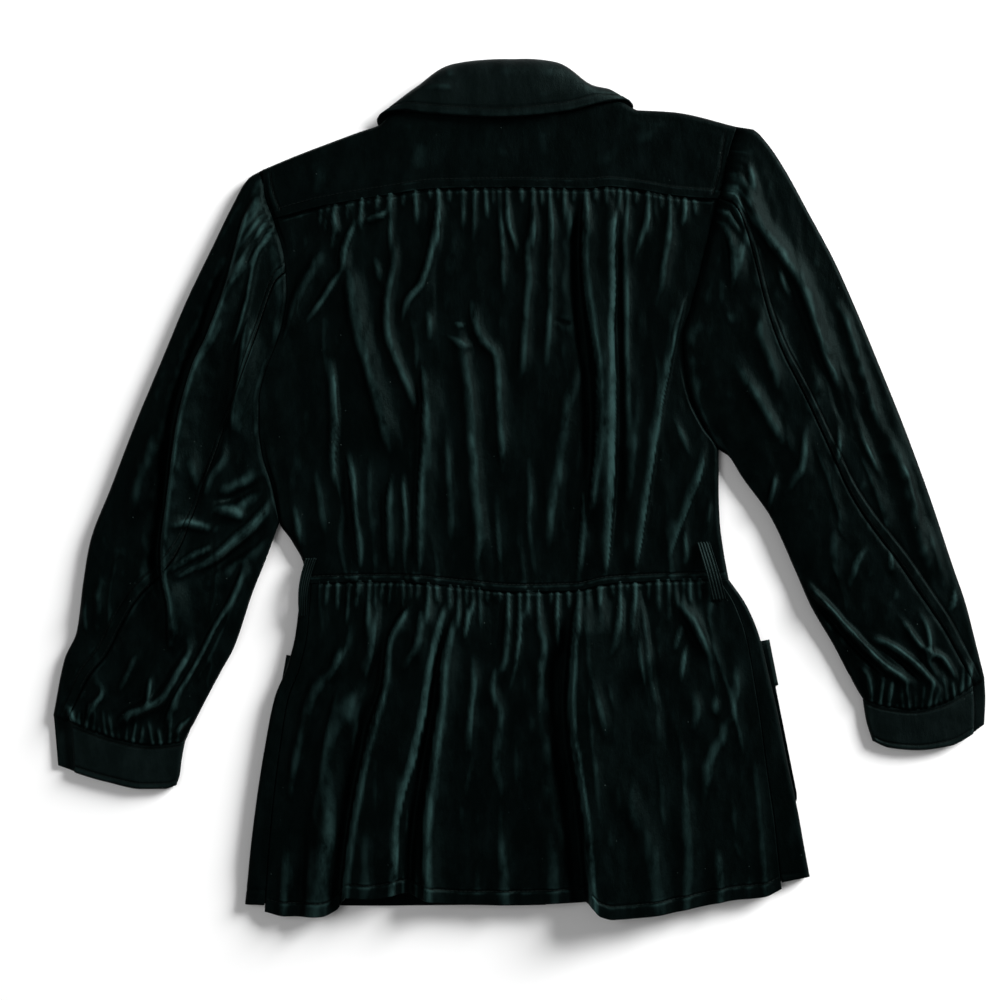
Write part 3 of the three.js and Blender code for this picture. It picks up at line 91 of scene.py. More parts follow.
PEPLUM_RIGHT = ((190, -83), (205, -105), (218, -137), (226, -170), (234, -205), (243, -250), (252, -292),
                (257, -320), (263, -351))
BACK_HEM = ((-247, -376), (-230, -382), (-210, -386), (-178, -386), (-163, -380), (-158, -371),
            (-155, -368), (-130, -369), (-105, -365), (-80, -372), (-50, -375), (0, -375), (60, -373),
            (66, -377), (73, -384), (85, -387), (110, -386), (160, -378), (190, -372), (220, -369),
            (245, -358), (263, -351))
FRONT_HEM = ((-247, -376), (-150, -378), (0, -377), (80, -374), (180, -366), (263, -351))
SIDE_SEAMS = {-1: (0.045, 0.07), 1: (0.045, 0.1)}


class Side(Enum):
    """The two sides of the jacket as they lie in the picture."""

    LEFT = -1
    RIGHT = 1


@dataclass(frozen=True)
class Fold:
    """A ridge or trough: its rise, the spread of each flank and its line from the upper end."""

    rise: float
    left: float
    right: float
    line: tuple[tuple[float, float], ...]
    fade: float = 40.0
    from_seam: bool = False
    to_hem: bool = False


BODICE_FOLDS = (
    Fold(5, 1.9, 17, ((-158, 42), (-152, 18), (-148, -12), (-145, -45), (-140, -86))),
    Fold(5.5, 6, 11, ((-155, 215), (-152, 195), (-150, 165), (-142, 128), (-131, 90), (-119, 45),
                      (-108, 20))),
    Fold(5, 2.4, 13, ((-110, 24), (-117, -8), (-117, -40), (-115, -86))),
    Fold(4, 5, 5, ((-115, 238), (-112, 205), (-118, 170), (-117, 135), (-107, 108), (-95, 78), (-88, 52))),
    Fold(6, 1.9, 13, ((-88, 122), (-86, 100), (-85, 60), (-88, 10), (-90, -40), (-89, -87))),
    Fold(5.5, 3.6, 5, ((-67, 268), (-74, 240), (-79, 212), (-88, 184), (-101, 166), (-107, 138))),
    Fold(3, 4, 4, ((-82, 165), (-80, 145), (-82, 128))),
    Fold(5, 8, 7, ((-60, 160), (-52, 130), (-45, 85), (-42, 40), (-39, -10), (-34, -45), (-38, -80))),
    Fold(4, 4, 6, ((-44, 182), (-40, 150), (-34, 133), (-21, 116), (-18, 70), (-15, 30), (-13, 2))),
    Fold(4, 5, 6, ((12, 266), (12, 235), (8, 212), (9, 188), (6, 150), (3, 110), (0, 84))),
    Fold(3, 3.2, 3.2, ((-12, 265), (-14, 240), (-14, 200), (-14, 162))),
    Fold(3, 2.6, 3, ((-9, 266), (-8, 235), (-2, 214), (-1, 192))),
    Fold(3.4, 4.5, 4.5, ((29, 266), (30, 235), (28, 200), (28, 160), (26, 125), (24, 98))),
    Fold(2.6, 3, 3.4, ((43, 262), (46, 240), (45, 218))),
    Fold(8, 2.2, 15, ((62, 268), (60, 245), (59, 200), (64, 155), (71, 110), (72, 50), (68, 12),
                      (62, -40))),
    Fold(-4.5, 7, 4, ((56, 262), (54, 225), (54, 195), (57, 150), (63, 105), (65, 50), (62, 15))),
    Fold(4.5, 2, 7, ((67, 18), (60, 0), (58, -25), (56, -52), (53, -93))),
    Fold(7.5, 14, 2.2, ((91, 267), (87, 245), (85, 215), (86, 180), (84, 140), (86, 95), (85, 45),
                        (84, 0), (80, -58), (78, -86))),
    Fold(-4.5, 4, 6, ((93, 250), (90, 190), (90, 130), (91, 70), (90, 10), (86, -50))),
    Fold(2.6, 4, 4, ((95, 264), (94, 230), (96, 180), (97, 110), (98, 60), (95, 18))),
    Fold(3.6, 3, 4, ((117, 263), (115, 245), (110, 224), (104, 203), (100, 194))),
    Fold(3.6, 5, 5, ((138, 263), (136, 245), (134, 220), (130, 192), (126, 160))),
    Fold(2.6, 3, 3, ((150, 262), (149, 247), (146, 230))),
    Fold(4.2, 8, 7, ((60, 118), (50, 94), (44, 70), (38, 28), (32, -5), (27, -40), (28, -64))),
    Fold(6, 14, 2.4, ((152, 182), (143, 145), (135, 110), (128, 76), (121, 30), (114, -15), (108, -55),
                      (104, -84))),
    Fold(5, 11, 2.2, ((170, 42), (163, 10), (155, -10), (146, -32), (139, -52), (131, -72))),
    Fold(2.6, 3, 3, ((151, -18), (150, -45), (151, -62), (145, -78))),
    Fold(2.6, 4, 3, ((173, -3), (171, -30), (168, -52))),
    Fold(5, 3.4, 4, ((-143, 259), (-147, 240), (-155, 221), (-163, 194), (-175, 172), (-192, 148),
                     (-198, 139))),
    Fold(-4, 4, 3, ((-158, 216), (-162, 198), (-171, 178))),
    Fold(3.6, 3, 4, ((-170, 255), (-165, 236), (-160, 220))),
    Fold(4.6, 7, 8, ((-171, 226), (-182, 203), (-196, 178), (-207, 155), (-214, 128))),
    Fold(3.4, 3, 4, ((-207, 192), (-208, 165), (-212, 140), (-218, 114))),
    Fold(4.4, 7, 2.4, ((-170, 124), (-166, 95), (-164, 50), (-167, 22), (-162, -6))),
    Fold(4, 4, 5, ((-203, -6), (-200, -30), (-198, -50), (-196, -68))),
    Fold(3.4, 3, 3.4, ((-118, 263), (-120, 248), (-133, 242), (-147, 238))),
    Fold(3, 4, 4, ((-130, 214), (-125, 190), (-118, 176))),
    Fold(2.6, 5, 6, ((-182, 30), (-180, 0), (-176, -30), (-170, -60))),
    Fold(2.2, 5, 5, ((-66, 60), (-63, 20), (-61, -20), (-62, -60))),
    Fold(2, 4, 4, ((8, 40), (10, 5), (9, -30), (12, -66))),
    Fold(2.2, 3, 3, ((-102, 30), (-103, 0), (-101, -40), (-102, -80))),
    Fold(2.2, 5, 5, ((110, 110), (106, 60), (102, 20), (97, -20))),
    Fold(2, 3, 3, ((-70, 142), (-50, 128), (-34, 130))),
    Fold(1.6, 2, 2, ((-60, 150), (-52, 146), (-44, 148))),
    Fold(-1.6, 2, 2, ((30, 152), (42, 148), (50, 150))),
    Fold(1.8, 3, 3, ((138, 70), (150, 40), (158, 20))),
)
PEPLUM_FOLDS = (
    Fold(4.4, 7, 8, ((-134, -92), (-133, -120), (-132, -140), (-136, -158), (-146, -182))),
    Fold(8, 14, 12, ((-140, -168), (-157, -205), (-170, -228), (-174, -260), (-173, -310), (-178, -340),
                     (-184, -388))),
    Fold(9, 2.6, 25, ((-103, -90), (-99, -108), (-109, -124), (-116, -142), (-120, -180), (-130, -213),
                      (-145, -280), (-154, -340), (-157, -372))),
    Fold(-5, 8, 5, ((-126, -180), (-138, -215), (-150, -270), (-158, -320), (-163, -382))),
    Fold(5, 5, 6, ((-78, -92), (-85, -105), (-90, -138), (-99, -156), (-112, -170))),
    Fold(6, 19, 3, ((-56, -92), (-65, -117), (-75, -145), (-83, -190), (-94, -238), (-107, -288),
                    (-110, -330), (-113, -366))),
    Fold(7, 2.8, 11, ((-50, -92), (-58, -115), (-67, -145), (-69, -190), (-75, -235), (-82, -290),
                      (-84, -330), (-83, -372))),
    Fold(-6, 4.5, 4.5, ((-56, -104), (-66, -130), (-75, -170), (-80, -210), (-90, -265), (-97, -320),
                        (-98, -368))),
    Fold(4, 3, 4, ((-37, -92), (-43, -110), (-48, -130), (-51, -146))),
    Fold(3.6, 5, 5, ((-43, -138), (-40, -175), (-44, -208), (-48, -250))),
    Fold(3.6, 6, 6, ((-12, -98), (-10, -125), (-13, -155), (-23, -178), (-17, -204), (-20, -250),
                     (-12, -284))),
    Fold(3, 8, 8, ((-15, -300), (-13, -335), (-14, -375))),
    Fold(3, 2.6, 3, ((0, -95), (0, -130), (-3, -160), (-8, -188))),
    Fold(2.6, 2.6, 2.6, ((6, -97), (5, -118), (6, -132))),
    Fold(4.2, 5, 5, ((18, -96), (20, -120), (22, -145), (20, -175), (22, -206))),
    Fold(3, 3.4, 3.4, ((33, -96), (34, -125), (38, -150))),
    Fold(12, 2.6, 44, ((53, -92), (51, -115), (49, -150), (47, -190), (49, -225), (56, -268), (61, -305),
                       (64, -350), (67, -384))),
    Fold(-8, 12, 3.6, ((46, -125), (41, -160), (39, -195), (42, -235), (49, -280), (54, -330), (59, -378))),
    Fold(3.6, 4, 5, ((93, -92), (90, -120), (87, -140), (81, -160))),
    Fold(3.2, 4, 4, ((106, -90), (102, -115), (100, -142))),
    Fold(6, 4, 6, ((135, -87), (145, -105), (155, -120), (163, -135), (172, -150), (179, -164))),
    Fold(3.4, 3, 3.4, ((148, -118), (143, -135), (139, -152))),
    Fold(2.8, 3, 3, ((152, -133), (147, -165), (146, -180))),
    Fold(3.2, 5, 5, ((66, -166), (72, -190), (77, -215), (81, -234))),
    Fold(4, 8, 7, ((197, -148), (195, -180), (190, -205), (181, -227), (171, -248), (170, -270),
                   (168, -290))),
    Fold(3.2, 6, 6, ((155, -172), (160, -200), (155, -228))),
    Fold(2.6, 4, 4, ((175, -183), (177, -212))),
    Fold(2.8, 6, 6, ((178, -316), (180, -345), (181, -374))),
    Fold(3.6, 12, 12, ((88, -248), (97, -280), (110, -308), (120, -345), (127, -386))),
    Fold(4, 20, 20, ((98, -140), (112, -158), (128, -172))),
    Fold(4.6, 8, 9, ((-150, -120), (-166, -160), (-187, -190), (-192, -215), (-200, -240), (-210, -285))),
    Fold(3, 5, 5, ((-208, -165), (-214, -190), (-218, -215))),
    Fold(2.8, 4, 4, ((-155, -138), (-165, -162), (-172, -178))),
    Fold(3, 9, 9, ((-215, -312), (-211, -345), (-213, -386))),
    Fold(-2.4, 5, 5, ((-196, -290), (-194, -330), (-197, -384))),
    Fold(2.4, 8, 8, ((24, -290), (28, -330), (30, -374))),
    Fold(2.2, 8, 8, ((-140, -300), (-138, -335), (-137, -369))),
    Fold(2.6, 7, 7, ((146, -258), (150, -300), (152, -340), (150, -380))),
    Fold(2.4, 7, 7, ((214, -230), (218, -275), (222, -330), (226, -368))),
)
SLEEVE_FOLDS = {
    -1: (
        Fold(7.5, 2.6, 15, ((-231, 265), (-243, 248), (-252, 218), (-262, 180), (-278, 137), (-292, 108),
                            (-304, 60), (-311, 12), (-318, -45), (-318, -80), (-313, -110),
                            (-315, -150))),
        Fold(-5, 6, 3.4, ((-262, 205), (-280, 150), (-300, 100), (-313, 50), (-320, -10), (-326, -60),
                          (-321, -105))),
        Fold(4, 4, 5, ((-238, 226), (-247, 205), (-255, 188), (-266, 168))),
        Fold(3, 2.6, 3, ((-230, 240), (-240, 192), (-245, 165), (-252, 140), (-258, 116))),
        Fold(6.5, 3, 9, ((-240, 162), (-246, 135), (-251, 95), (-257, 60), (-257, 36))),
        Fold(5, 5, 6, ((-256, 40), (-265, 28), (-277, 8), (-284, -15), (-287, -32))),
        Fold(-6, 5, 5, ((-281, -15), (-262, -11), (-245, -3), (-226, 8))),
        Fold(4, 5, 5, ((-276, -17), (-258, -22), (-242, -31))),
        Fold(6, 2.8, 6, ((-222, -2), (-229, -19), (-241, -33), (-256, -46), (-270, -59), (-286, -70),
                         (-299, -79))),
        Fold(-5.5, 4, 7, ((-222, -22), (-238, -44), (-256, -58), (-275, -72), (-292, -83))),
        Fold(3.6, 4, 4, ((-316, -38), (-300, -32), (-284, -35), (-269, -39))),
        Fold(4, 4, 4, ((-319, -79), (-305, -70), (-290, -60), (-276, -54), (-269, -44))),
        Fold(2.8, 3, 3, ((-311, -84), (-296, -74), (-284, -64))),
        Fold(5, 2.8, 7, ((-243, -58), (-250, -80), (-260, -104), (-272, -124), (-289, -157), (-309, -189),
                         (-322, -226))),
        Fold(-3.4, 3, 3, ((-256, -98), (-272, -130), (-288, -162), (-304, -192))),
        Fold(6.5, 5, 5, ((-299, -128), (-296, -146), (-306, -165), (-320, -188), (-336, -198),
                         (-351, -205), (-371, -220))),
        Fold(4, 3, 3.4, ((-376, -170), (-375, -186), (-383, -197), (-389, -217))),
        Fold(3.4, 3, 3, ((-330, -163), (-333, -188), (-338, -205))),
        Fold(3.4, 3.4, 3.4, ((-389, -88), (-392, -115), (-388, -134))),
        Fold(4, 3, 3, ((-405, -193), (-402, -208), (-398, -218))),
        Fold(3.4, 3, 3, ((-283, -200), (-300, -212), (-319, -229))),
        Fold(3.6, 5, 5, ((-246, 274), (-264, 240), (-284, 206), (-292, 188))),
        Fold(3, 8, 8, ((-318, 70), (-338, 15), (-352, -35))),
        Fold(2.6, 7, 7, ((-330, -60), (-345, -100), (-360, -140))),
        Fold(2.6, 6, 6, ((-290, 40), (-292, 15), (-290, -10))),
        Fold(2.6, 5, 5, ((-372, -60), (-378, -100), (-380, -140))),
        Fold(2.6, 4, 4, ((-340, -140), (-350, -165), (-364, -190))),
    ),
    1: (
        Fold(3.6, 5, 6, ((214, 320), (230, 300), (246, 278), (259, 256))),
        Fold(3.2, 3, 3.4, ((190, 284), (195, 262), (201, 240), (208, 218), (213, 206))),
        Fold(6, 5, 9, ((198, 292), (204, 270), (213, 243), (226, 221), (250, 188), (265, 152), (277, 115),
                       (284, 94), (289, 76))),
        Fold(3.2, 3, 3.4, ((229, 210), (236, 190), (244, 166))),
        Fold(3.4, 3, 3.4, ((205, 297), (210, 279), (214, 260))),
        Fold(4.6, 2.4, 7, ((181, 252), (188, 230), (192, 208), (193, 188), (190, 168))),
        Fold(4, 6, 7, ((199, 170), (214, 160), (218, 135), (226, 112), (238, 76))),
        Fold(4, 6, 7, ((195, 122), (203, 100), (215, 79), (226, 60), (245, 24))),
        Fold(3.6, 5, 6, ((281, 182), (295, 150), (303, 122), (312, 92), (324, 56), (336, 36))),
        Fold(4.6, 7, 7, ((324, 62), (336, 38), (346, 12), (354, -20), (366, -62), (376, -90))),
        Fold(3.2, 3, 3, ((304, 62), (311, 40), (320, 21), (329, 3))),
        Fold(4, 5, 6, ((258, 66), (257, 40), (255, 21), (248, 6), (241, -12))),
        Fold(3.4, 3, 4, ((232, 20), (229, 0), (227, -12), (228, -27))),
        Fold(3, 3, 3, ((287, 62), (288, 36), (286, 15))),
        Fold(3.2, 4, 4, ((316, -48), (305, -66), (296, -92))),
        Fold(2.6, 3, 3, ((334, -52), (336, -82))),
        Fold(7, 7, 3, ((253, -78), (266, -93), (281, -109), (296, -126), (325, -156), (346, -171),
                       (361, -184))),
        Fold(-6, 3, 7, ((256, -92), (272, -108), (292, -132), (318, -158), (345, -180))),
        Fold(5, 5, 2.6, ((308, -130), (331, -140), (347, -150), (362, -163), (386, -190))),
        Fold(-4, 3, 4, ((312, -138), (334, -148), (352, -163), (372, -182))),
        Fold(3.6, 3, 3, ((336, -110), (347, -122), (358, -138), (370, -149), (382, -154), (396, -176),
                         (397, -188))),
        Fold(3.4, 3, 3.4, ((356, -105), (367, -124), (370, -142), (370, -158), (386, -182))),
        Fold(3.4, 3, 3.4, ((304, -156), (314, -168), (317, -180), (320, -194))),
        Fold(3, 2.6, 3, ((337, -170), (334, -184), (333, -196))),
        Fold(3, 3, 3, ((394, -84), (393, -100), (387, -115))),
        Fold(3.2, 2.6, 3, ((402, -153), (406, -168), (404, -182))),
        Fold(2.6, 6, 6, ((330, 92), (345, 52), (358, 10))),
        Fold(2.6, 7, 7, ((262, 120), (268, 90), (270, 60))),
        Fold(2.4, 6, 6, ((280, -20), (284, -60), (290, -85))),
        Fold(2.4, 5, 5, ((365, -20), (376, -60), (388, -100))),
        Fold(2.8, 5, 5, ((206, 236), (200, 210), (200, 185))),
    ),
}
YOKE_FOLDS = (
    Fold(1.8, 12, 14, ((48, 284), (80, 300), (115, 318), (146, 336))),
    Fold(1.4, 12, 12, ((-190, 262), (-178, 280), (-172, 300))),
    Fold(1.2, 16, 16, ((-120, 285), (-90, 300), (-80, 325))),
    Fold(-1, 14, 14, ((0, 285), (6, 305), (0, 330))),
    Fold(1.2, 10, 10, ((160, 275), (168, 295), (172, 318))),
)
YOKE_TOPSTITCH = {
    -1: ((-224, 288), (-222, 270), (-214, 247)),
    1: ((188, 327), (183, 300), (181, 285), (174, 262)),
}

# Gathers: place across, length and rise
YOKE_GATHERS = (
    (-177, 22, 1.8), (-171.5, 30, 2.2), (-165, 48, 2.2), (-154, 26, 2), (-150, 24, 1.8), (-141, 36, 2.6),
    (-135, 14, 1.6), (-126.5, 20, 2), (-117.5, 16, 2), (-114, 60, 2.2), (-103, 16, 2), (-98, 12, 1.4),
    (-93, 34, 2.4),
    (-80, 14, 2), (-72.5, 70, 2.6), (-62.5, 16, 1.8), (-56, 12, 1.4), (-50, 44, 2.2), (-39, 60, 2.2),
    (-30, 34, 2.2),
    (-24, 24, 1.8), (-17.5, 60, 2), (-11, 50, 2.4), (2, 18, 1.8), (13, 70, 2.4), (20, 24, 1.8),
    (28, 60, 2.4),
    (35, 16, 1.8), (41, 44, 2.4), (50, 16, 1.8), (56, 14, 1.6), (61, 40, 2.2), (69, 16, 2.2), (79, 20, 1.8),
    (85, 14, 1.6), (91, 40, 2.4), (98, 50, 2), (106, 16, 1.8), (116.5, 50, 2.4), (122, 30, 1.8),
    (127, 22, 1.8),
    (136, 44, 2.4), (143, 14, 1.6), (150, 26, 2.2), (158, 20, 1.6),
)
WAIST_GATHERS = (
    (-188, 26, 2.2), (-179, 34, 2.2), (-171.5, 26, 2.2), (-163, 30, 2.2), (-152.5, 50, 2.2),
    (-145, 30, 1.8),
    (-142, 20, 1.4), (-134, 50, 2.4), (-128, 30, 1.8), (-122, 22, 1.8), (-115, 28, 2), (-108.5, 26, 1.8),
    (-104, 40, 2.2), (-98, 22, 1.6), (-90.5, 22, 1.8), (-81.5, 50, 2.6), (-74, 22, 1.8), (-67, 14, 1.4),
    (-62, 30, 2.2),
    (-54.5, 50, 2.4), (-47, 50, 2.4), (-42, 30, 2), (-35, 40, 2.2), (-28, 16, 1.8), (-22, 12, 1.4),
    (-17, 16, 1.8),
    (-9.5, 40, 2.4), (0.5, 60, 2.2), (8, 34, 2.2), (13, 12, 1.4), (18.5, 50, 2.4), (30, 18, 1.8),
    (35, 44, 2.2),
    (44.5, 26, 2.2), (53.5, 50, 2.4), (62.5, 20, 1.8), (71, 26, 2.2), (75, 20, 1.4), (84, 18, 1.8),
    (91, 46, 2.4),
    (98, 14, 1.4), (105, 50, 2.4), (116.5, 24, 1.8), (125.5, 34, 2.2), (134.5, 44, 2.4), (141, 40, 2),
    (148, 30, 2),
    (154, 26, 1.8), (163, 24, 1.8), (172, 36, 2.2), (181, 30, 2),
)
HEAD_GATHERS = {
    -1: ((283, 20, 1.8), (279, 34, 2), (272, 30, 1.8), (266, 34, 2), (260, 38, 2), (253, 60, 2.2),
         (246, 50, 2.2),
         (236, 70, 2.4)),
    1: ((321, 18, 1.8), (316, 24, 2), (310, 24, 1.8), (303, 30, 2), (297, 40, 2.2), (291, 34, 2),
        (285, 50, 2.2),
        (278, 60, 2.4), (270, 50, 2.2), (260, 56, 2.2)),
}
GATHER_FLANK = 2.5


@dataclass(frozen=True)
class SleeveShape:
    """One sleeve's edges as they lie, its back seam and its cuff."""

    side: int
    outer: tuple
    inner: tuple
    cuff_seam: tuple
    cuff_end: tuple
    cuff_inner: tuple
    cuff_outer: tuple
    back_seam: tuple
    cuff_opens: float
    gathers: tuple


SLEEVES = {
    "left": SleeveShape(
        side=-1,
        outer=((-231, 287), (-244, 279), (-258, 255), (-275, 220), (-300, 168), (-320, 120), (-345, 60),
               (-368, 0), (-387, -50), (-393, -85), (-399, -130), (-410, -155), (-420, -205)),
        inner=((-216, -32), (-228, -65), (-240, -95), (-257, -145), (-268, -165), (-285, -197), (-301, -229)),
        cuff_seam=((-301, -229), (-330, -232), (-360, -227), (-385, -219), (-400, -213), (-420, -205)),
        cuff_end=((-309, -269), (-320, -272), (-340, -272), (-370, -266), (-395, -259), (-416, -251)),
        cuff_inner=((-301, -229), (-304, -245), (-306, -260), (-309, -269)),
        cuff_outer=((-420, -205), (-418, -228), (-416, -251)),
        back_seam=((0, 0.42), (0.3, 0.12), (0.5, 0.05), (0.75, 0.4), (1, 0.78)),
        cuff_opens=0.72,
        gathers=(-396, -390, -384, -378, -371, -365, -360, -354, -348, -341, -336, -329, -322, -315, -308),
    ),
    "right": SleeveShape(
        side=1,
        outer=((197, 326), (209, 325), (222, 314), (240, 288), (262, 248), (285, 205), (303, 165),
               (330, 100), (350, 50), (372, -10), (392, -70), (404, -105), (413, -140), (421, -172)),
        inner=((181, 34), (190, 28), (203, 8), (228, -27), (250, -75), (264, -107), (285, -143),
               (300, -172), (311, -191)),
        cuff_seam=((311, -191), (330, -197), (355, -200), (380, -195), (400, -185), (421, -172)),
        cuff_end=((320, -229), (335, -235), (360, -237), (390, -233), (408, -224), (421, -214)),
        cuff_inner=((311, -191), (314, -210), (320, -229)),
        cuff_outer=((421, -172), (422, -190), (421, -214)),
        back_seam=((0, 0.55), (0.25, 0.2), (0.5, 0.2), (0.75, 0.45), (1, 0.82)),
        cuff_opens=0.8,
        gathers=(318, 325, 333, 341, 347, 353, 358, 363, 369, 375, 381, 387, 393, 399, 405),
    ),
}

# The collar's stations from one front point round the neck to the other: edge, roll, neck, inside
COLLAR = (
    ((-88, 252, 0), (-38, 286, 0), (-40, 263, 2.6), (-36, 284, 2.6)),
    ((-108, 285, 0), (-66, 305, 0), (-72, 277, 2.6), (-64, 303, 2.6)),
    ((-124, 320, 0), (-95, 336, 0.6), (-98, 308, 3.2), (-90, 331, 4.4)),
    ((-127, 335, 8), (-104, 350, 6.5), (-106, 333, 6.4), (-99, 343, 6)),
    ((-108, 339, 16), (-88, 364, 8), (-96, 339, 8.6), (-85, 357, 7.2)),
    ((-75, 335, 17.5), (-62, 381, 8.5), (-60, 344.8, 9.4), (-60, 376, 7)),
    ((-15, 332, 18.5), (-15, 386, 9), (-12, 346.6, 9.6), (-15, 381, 7.2)),
    ((40, 337, 17.5), (35, 383, 8.5), (42, 348.4, 9.4), (34, 378, 7)),
    ((76, 346, 16), (64, 364, 8), (74, 347, 8.6), (60, 358, 7.2)),
    ((101, 349, 8), (84, 358, 6.5), (87, 344, 6.4), (78, 350, 6)),
    ((102, 334, 0), (76, 344, 0.6), (80, 322, 3.2), (71, 339, 4.4)),
    ((88, 298, 0), (52, 314, 0), (58, 288, 2.6), (50, 312, 2.6)),
    ((68, 260, 0), (22, 289, 0), (26, 268, 2.6), (20, 287, 2.6)),
)
COLLAR_BULGE = 5.0

POCKETS = {
    "left": ((-207.0, -152.0), (-0.17, -0.985), (0.985, -0.17)),
    "right": ((224.0, -138.0), (0.195, -0.981), (-0.981, -0.195)),
}
POCKET_WIDE, POCKET_LONG, POCKET_FLAP, FLAP_OVERHANG, POCKET_CORNER = 112.0, 155.0, 42.0, 3.0, 14.0

BELT_LOOPS = {
    "left": (((0.012, 0.93), (0.036, 0.93)), ((0.2, 0.1), (0.05, 0.1)), (-3, 0, 2)),
    "right": (((0.94, 0.9), (0.968, 0.9)), ((0.955, 0.065), (0.985, 0.065)), (0.5, 0, 3.5)),
}


def smooth(x: np.ndarray) -> np.ndarray:
    """Ease from 0 to 1.

    Args:
        x: Share of the way, which is held between 0 and 1.

    Returns:
        The eased share.
    """
    t = np.clip(x, 0.0, 1.0)
    return t * t * (3.0 - 2.0 * t)


def bell(away: np.ndarray, wide: float) -> np.ndarray:
    """Fall off evenly to both sides of a line.

    Args:
        away: Distance from the line.
        wide: Where 0.37 is left.

    Returns:
        A share that is 1 on the line.
    """
    return np.exp(-((away / wide) ** 2))


def mixed(a: float, b: float, t: np.ndarray) -> np.ndarray:
    """Blend two values.

    Args:
        a: Value at t = 0.
        b: Value at t = 1.
        t: Share of the way.

    Returns:
        The blended value.
    """
    return a + (b - a) * t


class Through:
    """A smooth curve through rows of (place, value), which never overshoots them."""

    def __init__(self, rows: tuple, swap: bool = False) -> None:
        """Work out the curve's tangents.

        Args:
            rows: Pairs of place and value, in any order.
            swap: Reads each row as (value, place).
        """
        pairs = sorted((row[1], row[0]) if swap else (row[0], row[1]) for row in rows)
        self.at = np.array([pair[0] for pair in pairs], float)
        self.value = np.array([pair[1] for pair in pairs], float)
        slope = np.diff(self.value) / np.diff(self.at)
        before, after = slope[:-1], slope[1:]
        both = before + after
        inner = np.where(before * after > 0, 2 * before * after / np.where(both == 0, 1, both), 0.0)
        self.tangent = np.concatenate([slope[:1], inner, slope[-1:]])

    def __call__(self, x: np.ndarray) -> np.ndarray:
        """Read the curve.

        Args:
            x: Places along it; outside the rows the end values hold.

        Returns:
            The values there.
        """
        x = np.clip(np.asarray(x, float), self.at[0], self.at[-1])
        i = np.clip(np.searchsorted(self.at, x, side="right") - 1, 0, len(self.at) - 2)
        width = self.at[i + 1] - self.at[i]
        t = (x - self.at[i]) / width
        keep = (1 + 2 * t) * (1 - t) ** 2
        gain = t * t * (3 - 2 * t)
        lead = t * (1 - t) ** 2 * width * self.tangent[i]
        trail = t * t * (1 - t) * width * self.tangent[i + 1]
        return keep * self.value[i] + gain * self.value[i + 1] + lead - trail


class AcrossLine:
    """A line that runs mostly across, read by its share from the first row to the last."""

    def __init__(self, rows: tuple, start: float | None = None, stop: float | None = None) -> None:
        """Keep the line's ends.

        Args:
            rows: Points of the line.
            start: Place across where the share is 0, or None for the first row.
            stop: Place across where the share is 1, or None for the last row.
        """
        self.height = Through(rows)
        self.start = rows[0][0] if start is None else start
        self.stop = rows[-1][0] if stop is None else stop

    def __call__(self, t: np.ndarray) -> tuple[np.ndarray, np.ndarray]:
        """Read a point.

        Args:
            t: Share along the line.

        Returns:
            Its x and y.
        """
        x = mixed(self.start, self.stop, np.asarray(t, float))
        return x, self.height(x)


class DownLine:
    """A line that runs mostly down, read by its share from the first row to the last."""

    def __init__(self, rows: tuple) -> None:
        """Keep the line's ends.

        Args:
            rows: Points of the line.
        """
        self.place = Through(rows, swap=True)
        self.start, self.stop = rows[0][1], rows[-1][1]

    def __call__(self, t: np.ndarray) -> tuple[np.ndarray, np.ndarray]:
        """Read a point.

        Args:
            t: Share along the line.

        Returns:
            Its x and y.
        """
        y = mixed(self.start, self.stop, np.asarray(t, float))
        return self.place(y), y


class PanelPlan:
    """The plan of a panel between four edges: t runs left to right and v top to bottom."""

    def __init__(self, top, bottom, left, right) -> None:
        """Keep the edges and the corners.

        Args:
            top: Line read across.
            bottom: Line read across.
            left: Line read down.
            right: Line read down.
        """
        self.edges = (top, bottom, left, right)
        self.corners = (top(0.0), top(1.0), bottom(0.0), bottom(1.0))

    def __call__(self, t: np.ndarray, v: np.ndarray) -> tuple[np.ndarray, np.ndarray]:
        """Read a point of the plan.

        Args:
            t: Share across.
            v: Share down.

        Returns:
            Its x and y.
        """
        top, bottom, left, right = self.edges
        a, b, lft, rgt = top(t), bottom(t), left(v), right(v)
        out = []
        for k in (0, 1):
            c = [corner[k] for corner in self.corners]
            ruled = (1 - v) * a[k] + v * b[k] + (1 - t) * lft[k] + t * rgt[k]
            square = (1 - v) * ((1 - t) * c[0] + t * c[1]) + v * ((1 - t) * c[2] + t * c[3])
            out.append(ruled - square)
        return out[0], out[1]


def catmull(points: np.ndarray, t: np.ndarray) -> np.ndarray:
    """Read a spline through points.

    Args:
        points: Rows of coordinates.
        t: Shares from the first point to the last.

    Returns:
        A row of coordinates for each share.
    """
    last = len(points) - 1
    place = np.clip(t, 0, 1) * last
    i = np.clip(np.floor(place).astype(int), 0, last - 1)
    f = (place - i)[:, None]
    p1, p2 = points[i], points[i + 1]
    p0 = np.where((i == 0)[:, None], 2 * p1 - p2, points[np.maximum(i - 1, 0)])
    p3 = np.where((i == last - 1)[:, None], 2 * p2 - p1, points[np.minimum(i + 2, last)])
    return 0.5 * (2 * p1 + (p2 - p0) * f + (2 * p0 - 5 * p1 + 4 * p2 - p3) * f**2
                  + (3 * p1 - p0 - 3 * p2 + p3) * f**3)


